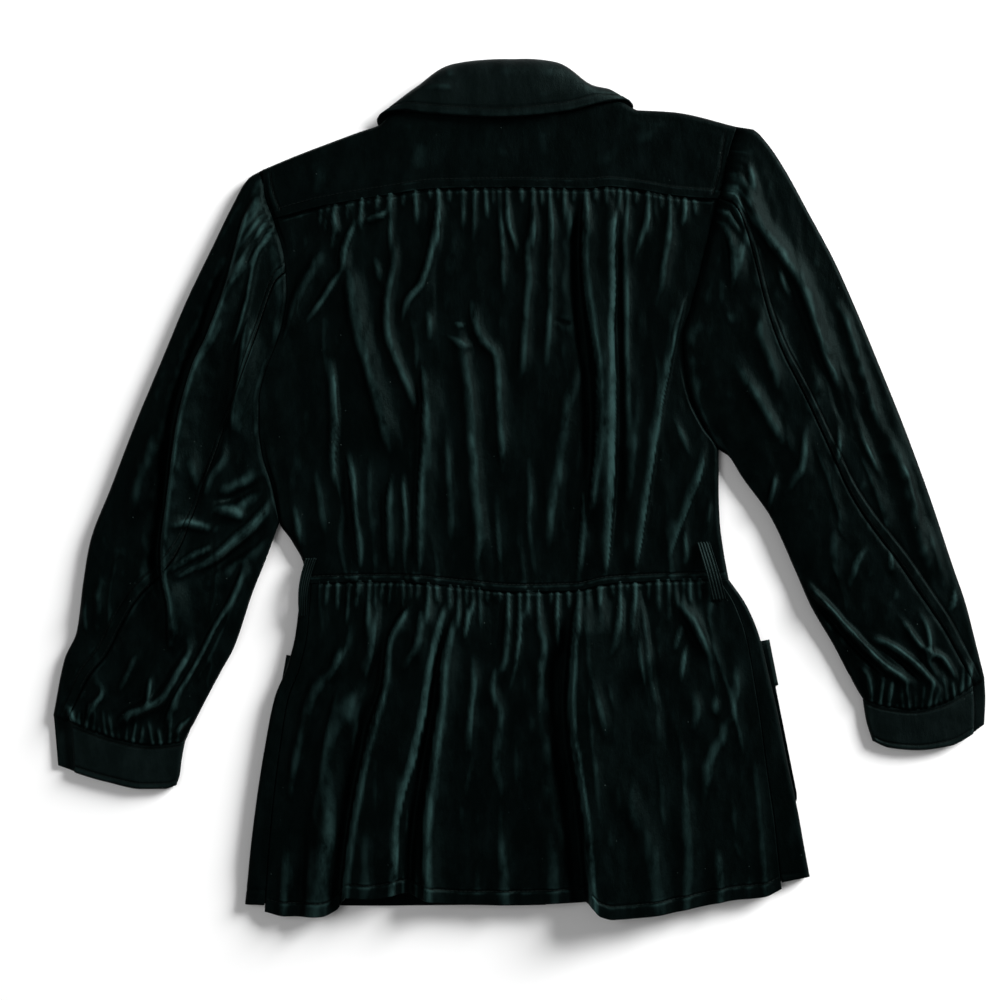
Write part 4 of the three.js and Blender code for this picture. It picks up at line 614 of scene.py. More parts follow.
class FoldField:
    """How far all the folds of a panel raise or sink its cloth."""

    SPACING = 3.0
    REACH = 2.6

    def __init__(self, folds: tuple[Fold, ...] | list[Fold]) -> None:
        """Turn each fold's line into short stretches.

        Args:
            folds: The panel's folds.
        """
        self.lines = []
        for fold in folds:
            rough = np.array(fold.line, float)
            length = np.sum(np.hypot(*np.diff(rough, axis=0).T))
            count = max(int(length / self.SPACING), 3)
            self.lines.append((fold, catmull(rough, np.linspace(0, 1, count + 1))))

    def __call__(self, x: np.ndarray, y: np.ndarray) -> np.ndarray:
        """Add up the folds.

        Args:
            x: Places across.
            y: Places along.

        Returns:
            The height of the folds there.
        """
        total = np.zeros_like(x)
        for fold, points in self.lines:
            margin = self.REACH * max(fold.left, fold.right)
            low, high = points.min(0) - margin, points.max(0) + margin
            near = np.nonzero((x > low[0]) & (x < high[0]) & (y > low[1]) & (y < high[1]))[0]
            if near.size:
                total[near] += self._one(fold, points, x[near], y[near])
        return total

    @staticmethod
    def _one(fold: Fold, points: np.ndarray, x: np.ndarray, y: np.ndarray) -> np.ndarray:
        """Measure one fold.

        Args:
            fold: The fold.
            points: Its line.
            x: Places across.
            y: Places along.

        Returns:
            Its height there.
        """
        away = np.full(x.shape, np.inf)
        side = np.ones(x.shape)
        along = np.zeros(x.shape)
        run = 0.0
        for a, b in zip(points[:-1], points[1:]):
            dx, dy = b - a
            step = max(math.hypot(dx, dy), 1e-9)
            t = np.clip(((x - a[0]) * dx + (y - a[1]) * dy) / step**2, 0, 1)
            gap = np.hypot(x - a[0] - t * dx, y - a[1] - t * dy)
            closer = gap < away
            away = np.where(closer, gap, away)
            cross = dx * (y - a[1]) - dy * (x - a[0])
            side = np.where(closer, np.sign(cross), side)
            along = np.where(closer, run + t * step, along)
            run += step
        fade = min(fold.fade, run / 2)
        flank = np.where(side > 0, fold.right, fold.left)
        start = 1.0 if fold.from_seam else smooth(along / fade)
        end = 1.0 if fold.to_hem else smooth((run - along) / fade)
        return fold.rise * bell(away, flank) * start * end


def gather(start: tuple, end: tuple, rise: float, long: float) -> Fold:
    """Make the fold of one gather.

    Args:
        start: Its point on the seam.
        end: The point where it dies out.
        rise: Its height.
        long: Its length.

    Returns:
        The fold.
    """
    half = ((start[0] + end[0]) / 2, (start[1] + end[1]) / 2)
    return Fold(rise, GATHER_FLANK, GATHER_FLANK, (start, half, end), fade=long * 0.8, from_seam=True)


def gathers_down(rows: tuple, seam: tuple) -> list[Fold]:
    """Make the gathers that hang from a seam.

    Args:
        rows: Place, length and rise of each gather.
        seam: The seam's points.

    Returns:
        A fold for each.
    """
    level = Through(seam)
    out = []
    for x, long, rise in rows:
        y = float(level(x)) + 4
        out.append(gather((x, y), (x + 0.006 * x + 2 * math.sin(x), y - 4 - long), rise, long))
    return out


def small_creases(seed: int, count: int, centre: tuple, half: float, levels: tuple, long: tuple,
                  fan: float = 0.0, rise: tuple = (0.8, 1.9), foot: float | None = None,
                  from_seam: bool = False) -> list[Fold]:
    """Scatter small uneven creases that run down a panel.

    Args:
        seed: Seed of the scatter.
        count: How many.
        centre: The panel's middle line, as places along (rising) and places across.
        half: How far to each side they lie.
        levels: Lowest and highest place of their upper ends.
        long: Least and greatest length.
        fan: How much they lean outwards for each millimetre from the middle.
        rise: Least and greatest height.
        foot: Where their lower ends lie, if they all meet a seam there.
        from_seam: Whether their upper ends run into a seam.

    Returns:
        A fold for each.
    """
    rng = np.random.default_rng(seed)
    out = []
    for _ in range(count):
        top, length, away = rng.uniform(*levels), rng.uniform(*long), rng.uniform(-half, half)
        if foot is not None:
            top = foot + length
        line = []
        for share in np.linspace(0, 1, 5):
            y = top - share * length
            x = np.interp(y, *centre) + away * (1 + fan * share * length) + rng.normal(0, 1.6)
            line.append((float(x), float(y)))
        sharp, soft = rng.uniform(1.5, 2.2), rng.uniform(3.0, 8.0)
        height = rng.uniform(*rise) * (1 if rng.random() < 0.72 else -1)
        out.append(Fold(height, sharp, soft, tuple(line), fade=length * 0.35, from_seam=from_seam,
                        to_hem=foot is not None))
    return out


def crests(folds: np.ndarray, columns: np.ndarray, rows: np.ndarray, shape: tuple[int, int]) -> np.ndarray:
    """Find how far each place stands above the cloth about it.

    Args:
        folds: Fold heights.
        columns: Column of each.
        rows: Row of each.
        shape: Numbers of columns and rows.

    Returns:
        Shares from 0 in the flat and the troughs to 1 on a sharply peaked fold.
    """
    grid = np.zeros(shape)
    grid[columns, rows] = folds
    about = grid
    for axis in (0, 1):
        reach = min(3, shape[axis] // 4)
        edges = [(reach, reach) if a == axis else (0, 0) for a in (0, 1)]
        padded = np.pad(about, edges, mode="edge")
        near = 2 * reach + 1
        about = sum(np.take(padded, np.arange(shape[axis]) + k, axis) for k in range(near)) / near
    return np.clip((grid - about)[columns, rows] / 1.35, 0, 1) ** 1.25


def drift(x: np.ndarray, y: np.ndarray, across: float, along: float, seed: int) -> np.ndarray:
    """Read a smooth uneven field.

    Args:
        x: Places across.
        y: Places along.
        across: Length of its swells across.
        along: Length of its swells along.
        seed: Which field.

    Returns:
        Values between -1 and 1.
    """
    size = 64
    table = np.random.default_rng(seed).uniform(-1, 1, (size, size))
    gx, gy = x / across + 17.3, y / along + 23.7
    ix, iy = np.floor(gx).astype(int), np.floor(gy).astype(int)
    fx, fy = smooth(gx - ix), smooth(gy - iy)
    low = mixed(table[ix % size, iy % size], table[(ix + 1) % size, iy % size], fx)
    high = mixed(table[ix % size, (iy + 1) % size], table[(ix + 1) % size, (iy + 1) % size], fx)
    return mixed(low, high, fy)


def tube_section(a: np.ndarray, half: np.ndarray, radius: np.ndarray, high: np.ndarray):
    """Read a tube lying flat, from the back's middle (0) round the edge (1) to the front's (2).

    Args:
        a: Place round the tube.
        half: Half its width.
        radius: Radius of its rolled edge.
        high: Height at the middle.

    Returns:
        The place across from -1 to 1, and the height.
    """
    edge = radius / half
    side = np.where(a < 0, -1.0, 1.0)
    away = np.abs(a)
    crown = (1 - np.clip(away / (1 - edge), 0, 1) ** 3) ** 2
    top = 2 * radius + np.maximum(high - 2 * radius, 0) * crown
    turn = np.clip((away - 1 + edge) / (2 * edge), 0, 1) * np.pi
    q = np.where(away <= 1 - edge, a, side * (1 - edge + edge * np.sin(turn)))
    z = np.where(away <= 1 - edge, top, radius + radius * np.cos(turn))
    under = away >= 1 + edge
    return np.where(under, side * (2 - away), q), np.where(under, 0.0, z)


def dome_section(a: np.ndarray, half: float, high: np.ndarray, floor: np.ndarray):
    """Read the back's section, whose edge turns down onto the front or stays up at an armhole.

    Args:
        a: Place across from -1 to 1.
        half: Half the width.
        high: Height at the middle.
        floor: Lowest height there.

    Returns:
        The place across and the height.
    """
    edge = EDGE_RADIUS / half
    side = np.where(a < 0, -1.0, 1.0)
    away = np.abs(a)
    shoulder = np.minimum(2 * EDGE_RADIUS, high * 0.75)
    crown = (1 - np.clip(away / (1 - edge), 0, 1) ** 3) ** 2
    turn = np.clip((away - 1 + edge) / edge, 0, 1) * (np.pi / 2)
    flat = away <= 1 - edge
    z = np.where(flat, shoulder + (high - shoulder) * crown,
                 BACK_SEAT + (shoulder - BACK_SEAT) * np.cos(turn))
    stays_up = np.clip((floor - BACK_SEAT) / BACK_SEAT, 0, 1)
    rolled = mixed(side * (1 - edge + edge * np.sin(turn)), a, stays_up)
    return np.where(flat, a, rolled), np.maximum(z, floor)


back_height = Through(BACK_HEIGHT)
sleeve_height = Through(SLEEVE_HEIGHT)
sleeve_edge = Through(SLEEVE_EDGE)
yoke_seam_level = Through(YOKE_SEAM)
waist_seam_level = Through(WAIST_SEAM)


def centre_front(y: np.ndarray) -> np.ndarray:
    """Find the centre front.

    Args:
        y: Places along.

    Returns:
        Its places across.
    """
    x0, y0, lean = CENTRE_FRONT
    return x0 + (y - y0) * lean


def armhole_floor(a: np.ndarray, y: np.ndarray) -> np.ndarray:
    """Find how high the back stays at the armhole.

    Args:
        a: Place across, whose sign names the side.
        y: Places along.

    Returns:
        The lowest height of the cloth.
    """
    out = np.zeros_like(y)
    for side, (top, under) in ARMHOLES.items():
        share = np.clip((y - under) / (top - under), 0, 1)
        floor = BACK_SEAT + (ARMHOLE_HIGH - BACK_SEAT) * np.sin(np.pi * share) ** 0.6
        out = np.where(np.sign(a) == side, floor, out)
    return out


def sleeve_half_width(v: np.ndarray) -> np.ndarray:
    """Find half the width of a sleeve lying flat.

    Args:
        v: Shares from the armhole to the cuff.

    Returns:
        Half widths.
    """
    return mixed(SLEEVE_HALF_WIDTH, CUFF_HALF_WIDTH, smooth(v * 1.2))


def lift_over_buttons(x: np.ndarray, y: np.ndarray) -> np.ndarray:
    """Find how far the buttons lift the fronts.

    Args:
        x: Places across.
        y: Places along.

    Returns:
        The lift.
    """
    away = np.abs(x - centre_front(y))
    return (BUTTON_THICK + BUTTON_CLEAR) * smooth((FRONT_LAP + BUTTON_REACH - away) / BUTTON_EASE)


def lift_over_collar(x: np.ndarray, y: np.ndarray) -> np.ndarray:
    """Find how far the collar's points lift the fronts.

    Args:
        x: Places across.
        y: Places along.

    Returns:
        The lift.
    """
    return (LAYER + 0.3) * smooth((172 - np.abs(x + 12)) / 40) * smooth((y - 205) / 36)


def lift_over_pocket(name: str, x: np.ndarray, y: np.ndarray) -> np.ndarray:
    """Find how far a pocket lifts the front of the peplum.

    Args:
        name: The pocket's side.
        x: Places across.
        y: Places along.

    Returns:
        The lift.
    """
    (px, py), (ax, ay), (ix, iy) = POCKETS[name]
    down = (x - px) * ax + (y - py) * ay
    inward = (x - px) * ix + (y - py) * iy
    out_x = np.maximum(inward - POCKET_WIDE, 0)
    out_y = np.maximum(np.maximum(-down, down - POCKET_LONG), 0)
    return smooth(1 - (np.hypot(out_x, out_y) - 22) / 38) * (2 * LAYER + 0.3)


class Cloth:
    """A surface of cloth read by shares u and v: points, and how far its folds stand off it."""

    def at(self, u: np.ndarray, v: np.ndarray) -> tuple[np.ndarray, np.ndarray]:
        """Read the surface.

        Args:
            u: Shares across.
            v: Shares down.

        Returns:
            Rows of points and a fold height for each.
        """
        raise NotImplementedError

    def framed(self, u: np.ndarray, v: np.ndarray, outward: int):
        """Read the surface with its outward normals.

        Args:
            u: Shares across.
            v: Shares down.
            outward: 1 or -1, which of the two sides is the outer one.

        Returns:
            Points, unit normals and fold heights.
        """
        step = 1e-3
        across = self.at(u + step, v)[0] - self.at(u - step, v)[0]
        down = self.at(u, v + step)[0] - self.at(u, v - step)[0]
        normal = np.cross(across, down)
        normal *= outward / np.maximum(np.linalg.norm(normal, axis=1, keepdims=True), 1e-12)
        points, folds = self.at(u, v)
        return points, normal, folds


def stacked(x: np.ndarray, y: np.ndarray, z: np.ndarray) -> np.ndarray:
    """Put coordinates side by side.

    Args:
        x: Places across.
        y: Places along.
        z: Heights.

    Returns:
        Rows of points.
    """
    return np.stack(np.broadcast_arrays(x, y, z), axis=1).astype(float)


class Bodice(Cloth):
    """The gathered back between yoke and waist."""

    LOWEST = 8.0

    def __init__(self) -> None:
        """Lay out the plan and the folds."""
        self.plan = PanelPlan(
            AcrossLine(YOKE_SEAM), AcrossLine(WAIST_SEAM),
            DownLine(tuple(r for r in LEFT_SIDE if r[1] <= YOKE_SEAM[0][1])),
            DownLine(tuple(r for r in RIGHT_SIDE if r[1] <= YOKE_SEAM[-1][1])),
        )
        middle = ((-90.0, 260.0), (-4.0, -22.0))
        self.folds = FoldField([
            *BODICE_FOLDS, *gathers_down(YOKE_GATHERS, YOKE_SEAM),
            *small_creases(11, 24, middle, 168, (10, 235), (50, 140), rise=(0.4, 1.1)),
            *small_creases(12, 16, middle, 172, (0, 0), (40, 130), foot=-82.0, rise=(0.4, 1.2))])

    def at(self, u, v):
        """See Cloth.at.

        Args:
            u: Shares across.
            v: Shares down.

        Returns:
            Points and fold heights.
        """
        a = 2 * u - 1
        flat = self.plan(u, v)
        q, z = dome_section(a, BODY_HALF_WIDTH, back_height(flat[1]), armhole_floor(a, flat[1]))
        x, y = self.plan((q + 1) / 2, v)
        calm = smooth((1 - np.abs(a)) / 0.05)
        folds = np.maximum(self.folds(x, y), self.LOWEST - z)
        folds += 0.8 * drift(x, y, 14, 60, 3) + 0.5 * drift(x, y, 7, 18, 4)
        below_yoke = yoke_seam_level(x) - y
        above_waist = y - waist_seam_level(x)
        folds -= 1.9 * smooth(1 - below_yoke / 3.5)
        folds += 0.7 * smooth(1 - (above_waist - 5) / 2) - 0.8 * bell(above_waist - 6.5, 1.1)
        return stacked(x, y, z), calm * folds


class Yoke(Cloth):
    """The plain yoke, which turns down over the shoulders."""

    TURN = 0.08
    NECK, NECK_EASE = (-128.0, 108.0), 16.0
    FLOOR_LEVEL = 245.0

    def __init__(self) -> None:
        """Lay out the plan and the folds."""
        self.plan = PanelPlan(
            AcrossLine(SHOULDER_LINE), AcrossLine(YOKE_SEAM),
            DownLine(tuple(r for r in LEFT_SIDE if r[1] >= YOKE_SEAM[0][1])),
            DownLine(tuple(r for r in RIGHT_SIDE if r[1] >= YOKE_SEAM[-1][1])),
        )
        grooves = [Fold(-0.9, 1.2, 1.2, line, fade=4) for line in YOKE_TOPSTITCH.values()]
        self.folds = FoldField([*YOKE_FOLDS, *grooves])

    def at(self, u, v):
        """See Cloth.at.

        Args:
            u: Shares across.
            v: Shares down.

        Returns:
            Points and fold heights.
        """
        a = 2 * u - 1
        turn = np.clip(1 - v / self.TURN, 0, 1) * (np.pi / 2)
        down = np.where(v < self.TURN, self.TURN * (1 - np.sin(turn)), v)
        flat = self.plan(u, down)
        seam = self.plan(u, np.ones_like(v))
        floor = armhole_floor(a, np.minimum(flat[1], self.FLOOR_LEVEL))
        q, seam_z = dome_section(a, BODY_HALF_WIDTH, back_height(seam[1]), floor)
        x, y = self.plan((q + 1) / 2, down)
        at_neck = smooth((x - self.NECK[0]) / self.NECK_EASE) * smooth((self.NECK[1] - x) / self.NECK_EASE)
        y = y + 6 * at_neck * smooth(1 - down / 0.3)
        end = mixed(LAYER + 0.5 + lift_over_collar(x, y), 9, at_neck)
        rise = mixed(11.5, seam_z, 1 - (1 - down) ** 2)
        z = end + (rise - end) * np.cos(turn)
        above = y - yoke_seam_level(x)
        band = 1.0 * smooth((YOKE_BAND + 1 - above) / 1.6) - 0.9 * bell(above - YOKE_BAND + 0.6, 1.0)
        band -= 1.6 * smooth(1 - above / 1.6)
        calm = smooth((v - self.TURN) / 0.1)
        folds = self.folds(x, y) + 0.5 * drift(x, y, 40, 30, 5) + 0.25 * drift(x, y, 12, 12, 6)
        return stacked(x, y, z), band + calm * folds


class Peplum(Cloth):
    """The peplum's tube, from which the back and the fronts are cut."""

    def __init__(self, top: tuple, bottom: tuple) -> None:
        """Lay out the plan.

        Args:
            top: Waist seam.
            bottom: Hem.
        """
        self.plan = PanelPlan(AcrossLine(top), AcrossLine(bottom),
                              DownLine(PEPLUM_LEFT), DownLine(PEPLUM_RIGHT))

    def seam(self, side: int, v: np.ndarray) -> np.ndarray:
        """Find a side seam.

        Args:
            side: -1 or 1.
            v: Shares down.

        Returns:
            Its places round the tube.
        """
        waist, hem = SIDE_SEAMS[side]
        return side * (1 - mixed(waist, hem, v))

    def tube(self, a: np.ndarray, v: np.ndarray):
        """Read the tube, raised over the buttons and pockets.

        Args:
            a: Places round it.
            v: Shares down.

        Returns:
            x, y and z.
        """
        middle = self.plan((np.clip(a, -1, 1) + 1) / 2, v)
        q, z = tube_section(a, PEPLUM_HALF_WIDTH, EDGE_RADIUS, back_height(middle[1]))
        x, y = self.plan((q + 1) / 2, v)
        below = np.maximum(1 - z / (2 * EDGE_RADIUS), 0)
        over_pocket = np.maximum(lift_over_pocket("left", x, y), lift_over_pocket("right", x, y))
        return x, y, z + np.maximum(lift_over_buttons(x, y) * below, over_pocket * mixed(0.35, 1, below))


class PeplumBack(Peplum):
    """The gathered back of the peplum between the side seams."""

    LOWEST = 9.5

    def __init__(self) -> None:
        """Lay out the plan and the folds."""
        super().__init__(WAIST_SEAM, BACK_HEM)
        falls = [replace(fold, to_hem=fold.line[-1][1] < -360) for fold in PEPLUM_FOLDS]
        middle = ((-390.0, -80.0), (0.0, 0.0))
        self.folds = FoldField([
            *falls, *gathers_down(WAIST_GATHERS, WAIST_SEAM),
            *small_creases(13, 14, middle, 178, (-92, -92), (90, 240), 0.0014, (0.6, 1.5), from_seam=True),
            *small_creases(14, 8, middle, 200, (-290, -140), (50, 120), 0.001, (0.4, 0.9))])
        self.hem = Through(BACK_HEM)

    def at(self, u, v):
        """See Cloth.at.

        Args:
            u: Shares across.
            v: Shares down.

        Returns:
            Points and fold heights.
        """
        gap = 0.3 / PEPLUM_HALF_WIDTH
        a = mixed(self.seam(-1, v) + gap, self.seam(1, v) - gap, u)
        x, y, z = self.tube(a, v)
        calm = smooth(np.minimum(u, 1 - u) / 0.04)
        folds = np.maximum(self.folds(x, y), self.LOWEST - z)
        folds += 0.8 * drift(x, y, 16, 70, 7) + 0.5 * drift(x, y, 7, 20, 8)
        folds -= 1.7 * smooth(1 - (waist_seam_level(x) - y) / 3)
        above_hem = y - self.hem(x)
        folds -= 0.8 * bell(above_hem - 12, 1.2)
        folds += 0.5 * smooth(1 - (above_hem - 10) / 3)
        return stacked(x, y, z), calm * folds


class PeplumFront(Peplum):
    """One front of the peplum, turned round the side to its seam on the back."""

    TURNED = 6 / 14

    def __init__(self, side: int) -> None:
        """Lay out the plan.

        Args:
            side: -1 or 1.
        """
        super().__init__(FRONT_WAIST, FRONT_HEM)
        self.side = side

    def at(self, u, v):
        """See Cloth.at.

        Args:
            u: Shares across.
            v: Shares down.

        Returns:
            Points and fold heights.
        """
        edge = EDGE_RADIUS / PEPLUM_HALF_WIDTH
        end = 2 + FRONT_LAP / PEPLUM_HALF_WIDTH
        seam = np.abs(self.seam(self.side, v))
        a = np.where(u <= self.TURNED, mixed(seam, 1 + edge, u / self.TURNED),
                     mixed(1 + edge, end, (u - self.TURNED) / (1 - self.TURNED)))
        x, y, z = self.tube(self.side * a, v)
        if self.side < 0:
            z = z + LAYER * smooth((x - centre_front(y) + FRONT_LAP + 26) / 24)
        on_top = smooth(1 - u / 0.5)
        folds = 0.5 * drift(x, y, 12, 40, 9 + self.side) * on_top
        folds -= 0.7 * bell(y + 385 - 0.06 * x * (x > 0) - 22, 1.2) * on_top
        return stacked(x, y, z), folds


class Front(Cloth):
    """One front of the body, lying flat under the back."""

    def __init__(self, side: int) -> None:
        """Lay out the plan.

        Args:
            side: -1 or 1.
        """
        self.side = side
        across = LEFT_SIDE if side < 0 else RIGHT_SIDE
        top = AcrossLine(FRONT_TOP, across[0][0], float(centre_front(260.0)) - side * FRONT_LAP)
        bottom = AcrossLine(FRONT_WAIST, across[-1][0], float(centre_front(-88.0)) - side * FRONT_LAP)

        def opening(v: np.ndarray) -> tuple[np.ndarray, np.ndarray]:
            """Read the front edge.

            Args:
                v: Shares down.

            Returns:
                Its x and y.
            """
            start, stop = top(1.0), bottom(1.0)
            return mixed(start[0], stop[0], v), mixed(start[1], stop[1], v)

        self.plan = PanelPlan(top, bottom, DownLine(across), opening)

    def at(self, u, v):
        """See Cloth.at.

        Args:
            u: Shares across.
            v: Shares down.

        Returns:
            Points and fold heights.
        """
        x, y = self.plan(u, v)
        lap = LAYER * smooth((x - centre_front(y) + FRONT_LAP + 26) / 24) if self.side < 0 else 0.0
        z = np.maximum(lift_over_buttons(x, y), lift_over_collar(x, y)) + lap
        return stacked(x, y, z), np.zeros_like(x)


class SleevePiece(Cloth):
    """The top or the under piece of a sleeve, from its back seam to the seam below."""

    GAP = 0.004
    LONG = 480.0
    LOWEST = 6.5
    RISE = {-1: 1.3, 1: 1.1}
    MIDDLE = {-1: ((-200.0, -120.0, 60.0, 230.0), (-335.0, -327.0, -300.0, -250.0)),
              1: ((-200.0, -119.0, 11.0, 169.0, 300.0), (375.0, 343.0, 300.0, 240.0, 215.0))}

    def __init__(self, shape: SleeveShape, top: bool) -> None:
        """Lay out the plan and the folds.

        Args:
            shape: The sleeve.
            top: True for the piece on the outer side.
        """
        self.shape, self.top = shape, top
        body = LEFT_SIDE if shape.side < 0 else RIGHT_SIDE
        under = ARMHOLES[shape.side][1]
        armhole = tuple(r for r in body if r[1] >= under)[::-1]
        self.plan = PanelPlan(
            DownLine(armhole), AcrossLine(shape.cuff_seam), DownLine(shape.inner), DownLine(shape.outer))
        self.seam = Through(shape.back_seam)
        self.folds = FoldField([
            *(replace(fold, rise=fold.rise * self.RISE[shape.side]) for fold in SLEEVE_FOLDS[shape.side]),
            *self._cuff_gathers(), *self._head_gathers(body),
            *small_creases(15 + shape.side, 18, self.MIDDLE[shape.side], 56, (-150, 250), (40, 120),
                           rise=(0.5, 1.3))])

    def _cuff_gathers(self) -> list[Fold]:
        """Make the gathers above the cuff.

        Returns:
            A fold for each.
        """
        seam = Through(self.shape.cuff_seam)
        out = []
        for i, x in enumerate(self.shape.gathers):
            long = 26 * (0.7 + 0.6 * abs(math.sin(i * 2.1)))
            y = float(seam(x))
            top = (x + 6 * math.sin(i), y + long)
            out.append(gather((x, y - 3), top, 2.0 + 0.7 * math.sin(i * 1.7), long))
        return out

    def _head_gathers(self, body: tuple) -> list[Fold]:
        """Make the gathers at the armhole.

        Args:
            body: The body's side, on which they start.

        Returns:
            A fold for each.
        """
        place = Through(body, swap=True)
        side = self.shape.side
        out = []
        for y, long, rise in HEAD_GATHERS[side]:
            x = float(place(y))
            out.append(gather((x, y), (x + side * long * 0.5, y - long * 0.8), rise, long))
        return out

    def at(self, u, v):
        """See Cloth.at.

        Args:
            u: Shares from the back seam to the seam below.
            v: Shares from the armhole to the cuff.

        Returns:
            Points and fold heights.
        """
        gap = self.GAP
        seam = self.seam(v)
        a = mixed(seam + gap, 2 - gap, u) if self.top else mixed(seam - gap, -2 + gap, u)
        half = sleeve_half_width(v)
        q, z = tube_section(a, half, sleeve_edge(v), sleeve_height(v))
        x, y = self.plan((q + 1) / 2, v)
        on_top = smooth((1 - np.abs(a)) / 0.16)
        folds = np.maximum(self.folds(x, y), self.LOWEST - z)
        seed = 11 + self.shape.side
        folds += 0.7 * drift(x, y, 14, 30, seed) + 0.4 * drift(x, y, 6, 10, seed + 1)
        from_seam = np.abs(a - seam) * half
        if self.top:
            folds -= 0.7 * bell(from_seam - 7.5, 1.1)
            folds += 0.5 * smooth(1 - (from_seam - 6) / 3)
        folds -= 1.0 * bell(from_seam, 1.4)
        folds -= 1.4 * smooth(1 - (1 - v) * self.LONG / 3)
        folds -= 1.2 * smooth(1 - v * self.LONG / 4)
        return stacked(x, y, z), on_top * folds


class Cuff(Cloth):
    """A cuff: a band round the wrist that is open at the outer side, with a tab below."""

    RADIUS, HIGH, TAB_RISE, LONG = 3.6, 8.6, 2.0, 40.0

    def __init__(self, shape: SleeveShape) -> None:
        """Lay out the plan.

        Args:
            shape: The sleeve.
        """
        self.shape = shape
        self.plan = PanelPlan(AcrossLine(shape.cuff_seam), AcrossLine(shape.cuff_end),
                              DownLine(shape.cuff_inner), DownLine(shape.cuff_outer))

    def at(self, u, v):
        """See Cloth.at.

        Args:
            u: Shares round the wrist.
            v: Shares from the seam to the end.

        Returns:
            Points and fold heights.
        """
        a = mixed(self.shape.cuff_opens, -3, u)
        q, z = tube_section(a, CUFF_HALF_WIDTH, self.RADIUS, self.HIGH)
        x, y = self.plan((q + 1) / 2, v)
        tab = np.where(a < -2, self.TAB_RISE * smooth((-a - 2.75) / 0.25), 0.0)
        on_top = smooth((1 - np.abs(a)) / 0.1)
        folds = -0.7 * bell((1 - v) * self.LONG - 5, 1.1) - 0.6 * bell(v * self.LONG - 4, 1.1)
        folds += 0.35 * drift(x, y, 14, 12, 21) - 1.2 * smooth(1 - (1 - v) * self.LONG / 1.8)
        folds -= 0.8 * smooth(1 - (self.shape.cuff_opens - a) * CUFF_HALF_WIDTH / 2)
        return stacked(x, y, z + tab), on_top * folds


class CollarFall(Cloth):
    """The collar's fall, from its outer edge up to the roll."""

    def __init__(self) -> None:
        """Keep the curves."""
        self.edge = np.array([row[0] for row in COLLAR], float)
        self.roll = np.array([row[1] for row in COLLAR], float)
        self.creases = FoldField([
            Fold(1.5, 4, 4, ((-94, 357), (-75, 360), (-54, 358)), fade=14),
            Fold(1.0, 4, 4, ((-63, 379), (-62, 366)), fade=5),
            Fold(1.2, 8, 8, ((-30, 372), (10, 374), (45, 369)), fade=20),
            Fold(0.9, 6, 6, ((10, 350), (40, 356), (66, 357)), fade=14),
        ])

    def at(self, u, v):
        """See Cloth.at.

        Args:
            u: Shares from one front point to the other.
            v: Shares from the edge to the roll.

        Returns:
            Points and fold heights.
        """
        turn = v * (np.pi / 2)
        start, stop = catmull(self.edge, u), catmull(self.roll, u)
        points = start + (stop - start) * np.sin(turn)[:, None]
        back = smooth(1 - np.abs(u - 0.5) / 0.3)
        z = stop[:, 2] + (start[:, 2] - stop[:, 2]) * np.cos(turn) + COLLAR_BULGE * back * np.sin(2 * turn)
        points[:, 2] = np.maximum(z, 0)
        from_edge = np.linalg.norm(points - start, axis=1)
        folds = self.creases(points[:, 0], points[:, 1]) + 0.3 * drift(points[:, 0], points[:, 1], 16, 16, 31)
        folds = back * folds - 0.7 * bell(from_edge - 8.5, 1.1) - 1.0 * smooth(1 - from_edge / 1.8)
        return points, folds * smooth(points[:, 2] / 2)


class CollarStand(Cloth):
    """The collar's stand inside the fall."""

    def __init__(self) -> None:
        """Keep the curves."""
        self.neck = np.array([row[2] for row in COLLAR], float)
        self.inside = np.array([row[3] for row in COLLAR], float)

    def at(self, u, v):
        """See Cloth.at.

        Args:
            u: Shares from one front point to the other.
            v: Shares from the neck seam up.

        Returns:
            Points and fold heights.
        """
        start = catmull(self.neck, u)
        return start + (catmull(self.inside, u) - start) * v[:, None], np.zeros_like(u)


class PocketPouch(Cloth):
    """A patch pocket's pouch."""

    def __init__(self, name: str) -> None:
        """Keep the pocket's side.

        Args:
            name: left or right.
        """
        self.corner, self.along, self.inward = POCKETS[name]

    def place(self, down: np.ndarray, inward: np.ndarray, z: float) -> np.ndarray:
        """Put a place on the pocket into the jacket's frame.

        Args:
            down: Distance down from its top.
            inward: Distance from its outer side.
            z: Height.

        Returns:
            Rows of points.
        """
        x = self.corner[0] + self.along[0] * down + self.inward[0] * inward
        y = self.corner[1] + self.along[1] * down + self.inward[1] * inward
        return stacked(x, y, np.full_like(x, z))

    def at(self, u, v):
        """See Cloth.at.

        Args:
            u: Shares from the outer side.
            v: Shares down.

        Returns:
            Points and fold heights.
        """
        around = np.sqrt(np.maximum(1 - np.minimum(np.abs(2 * u - 1), 1) ** 8, 0))
        down = 4 + (POCKET_LONG - POCKET_CORNER - 4) * v + POCKET_CORNER * v * around
        return self.place(down, POCKET_WIDE * u, LAYER), np.zeros_like(u)


class PocketFlap(PocketPouch):
    """The flap over a pocket's mouth."""

    def at(self, u, v):
        """See Cloth.at.

        Args:
            u: Shares down.
            v: Shares from the outer side.

        Returns:
            Points and fold heights.
        """
        inward = -FLAP_OVERHANG + (POCKET_WIDE + 2 * FLAP_OVERHANG) * u
        return self.place(POCKET_FLAP * v, inward, 0.0), np.zeros_like(u)


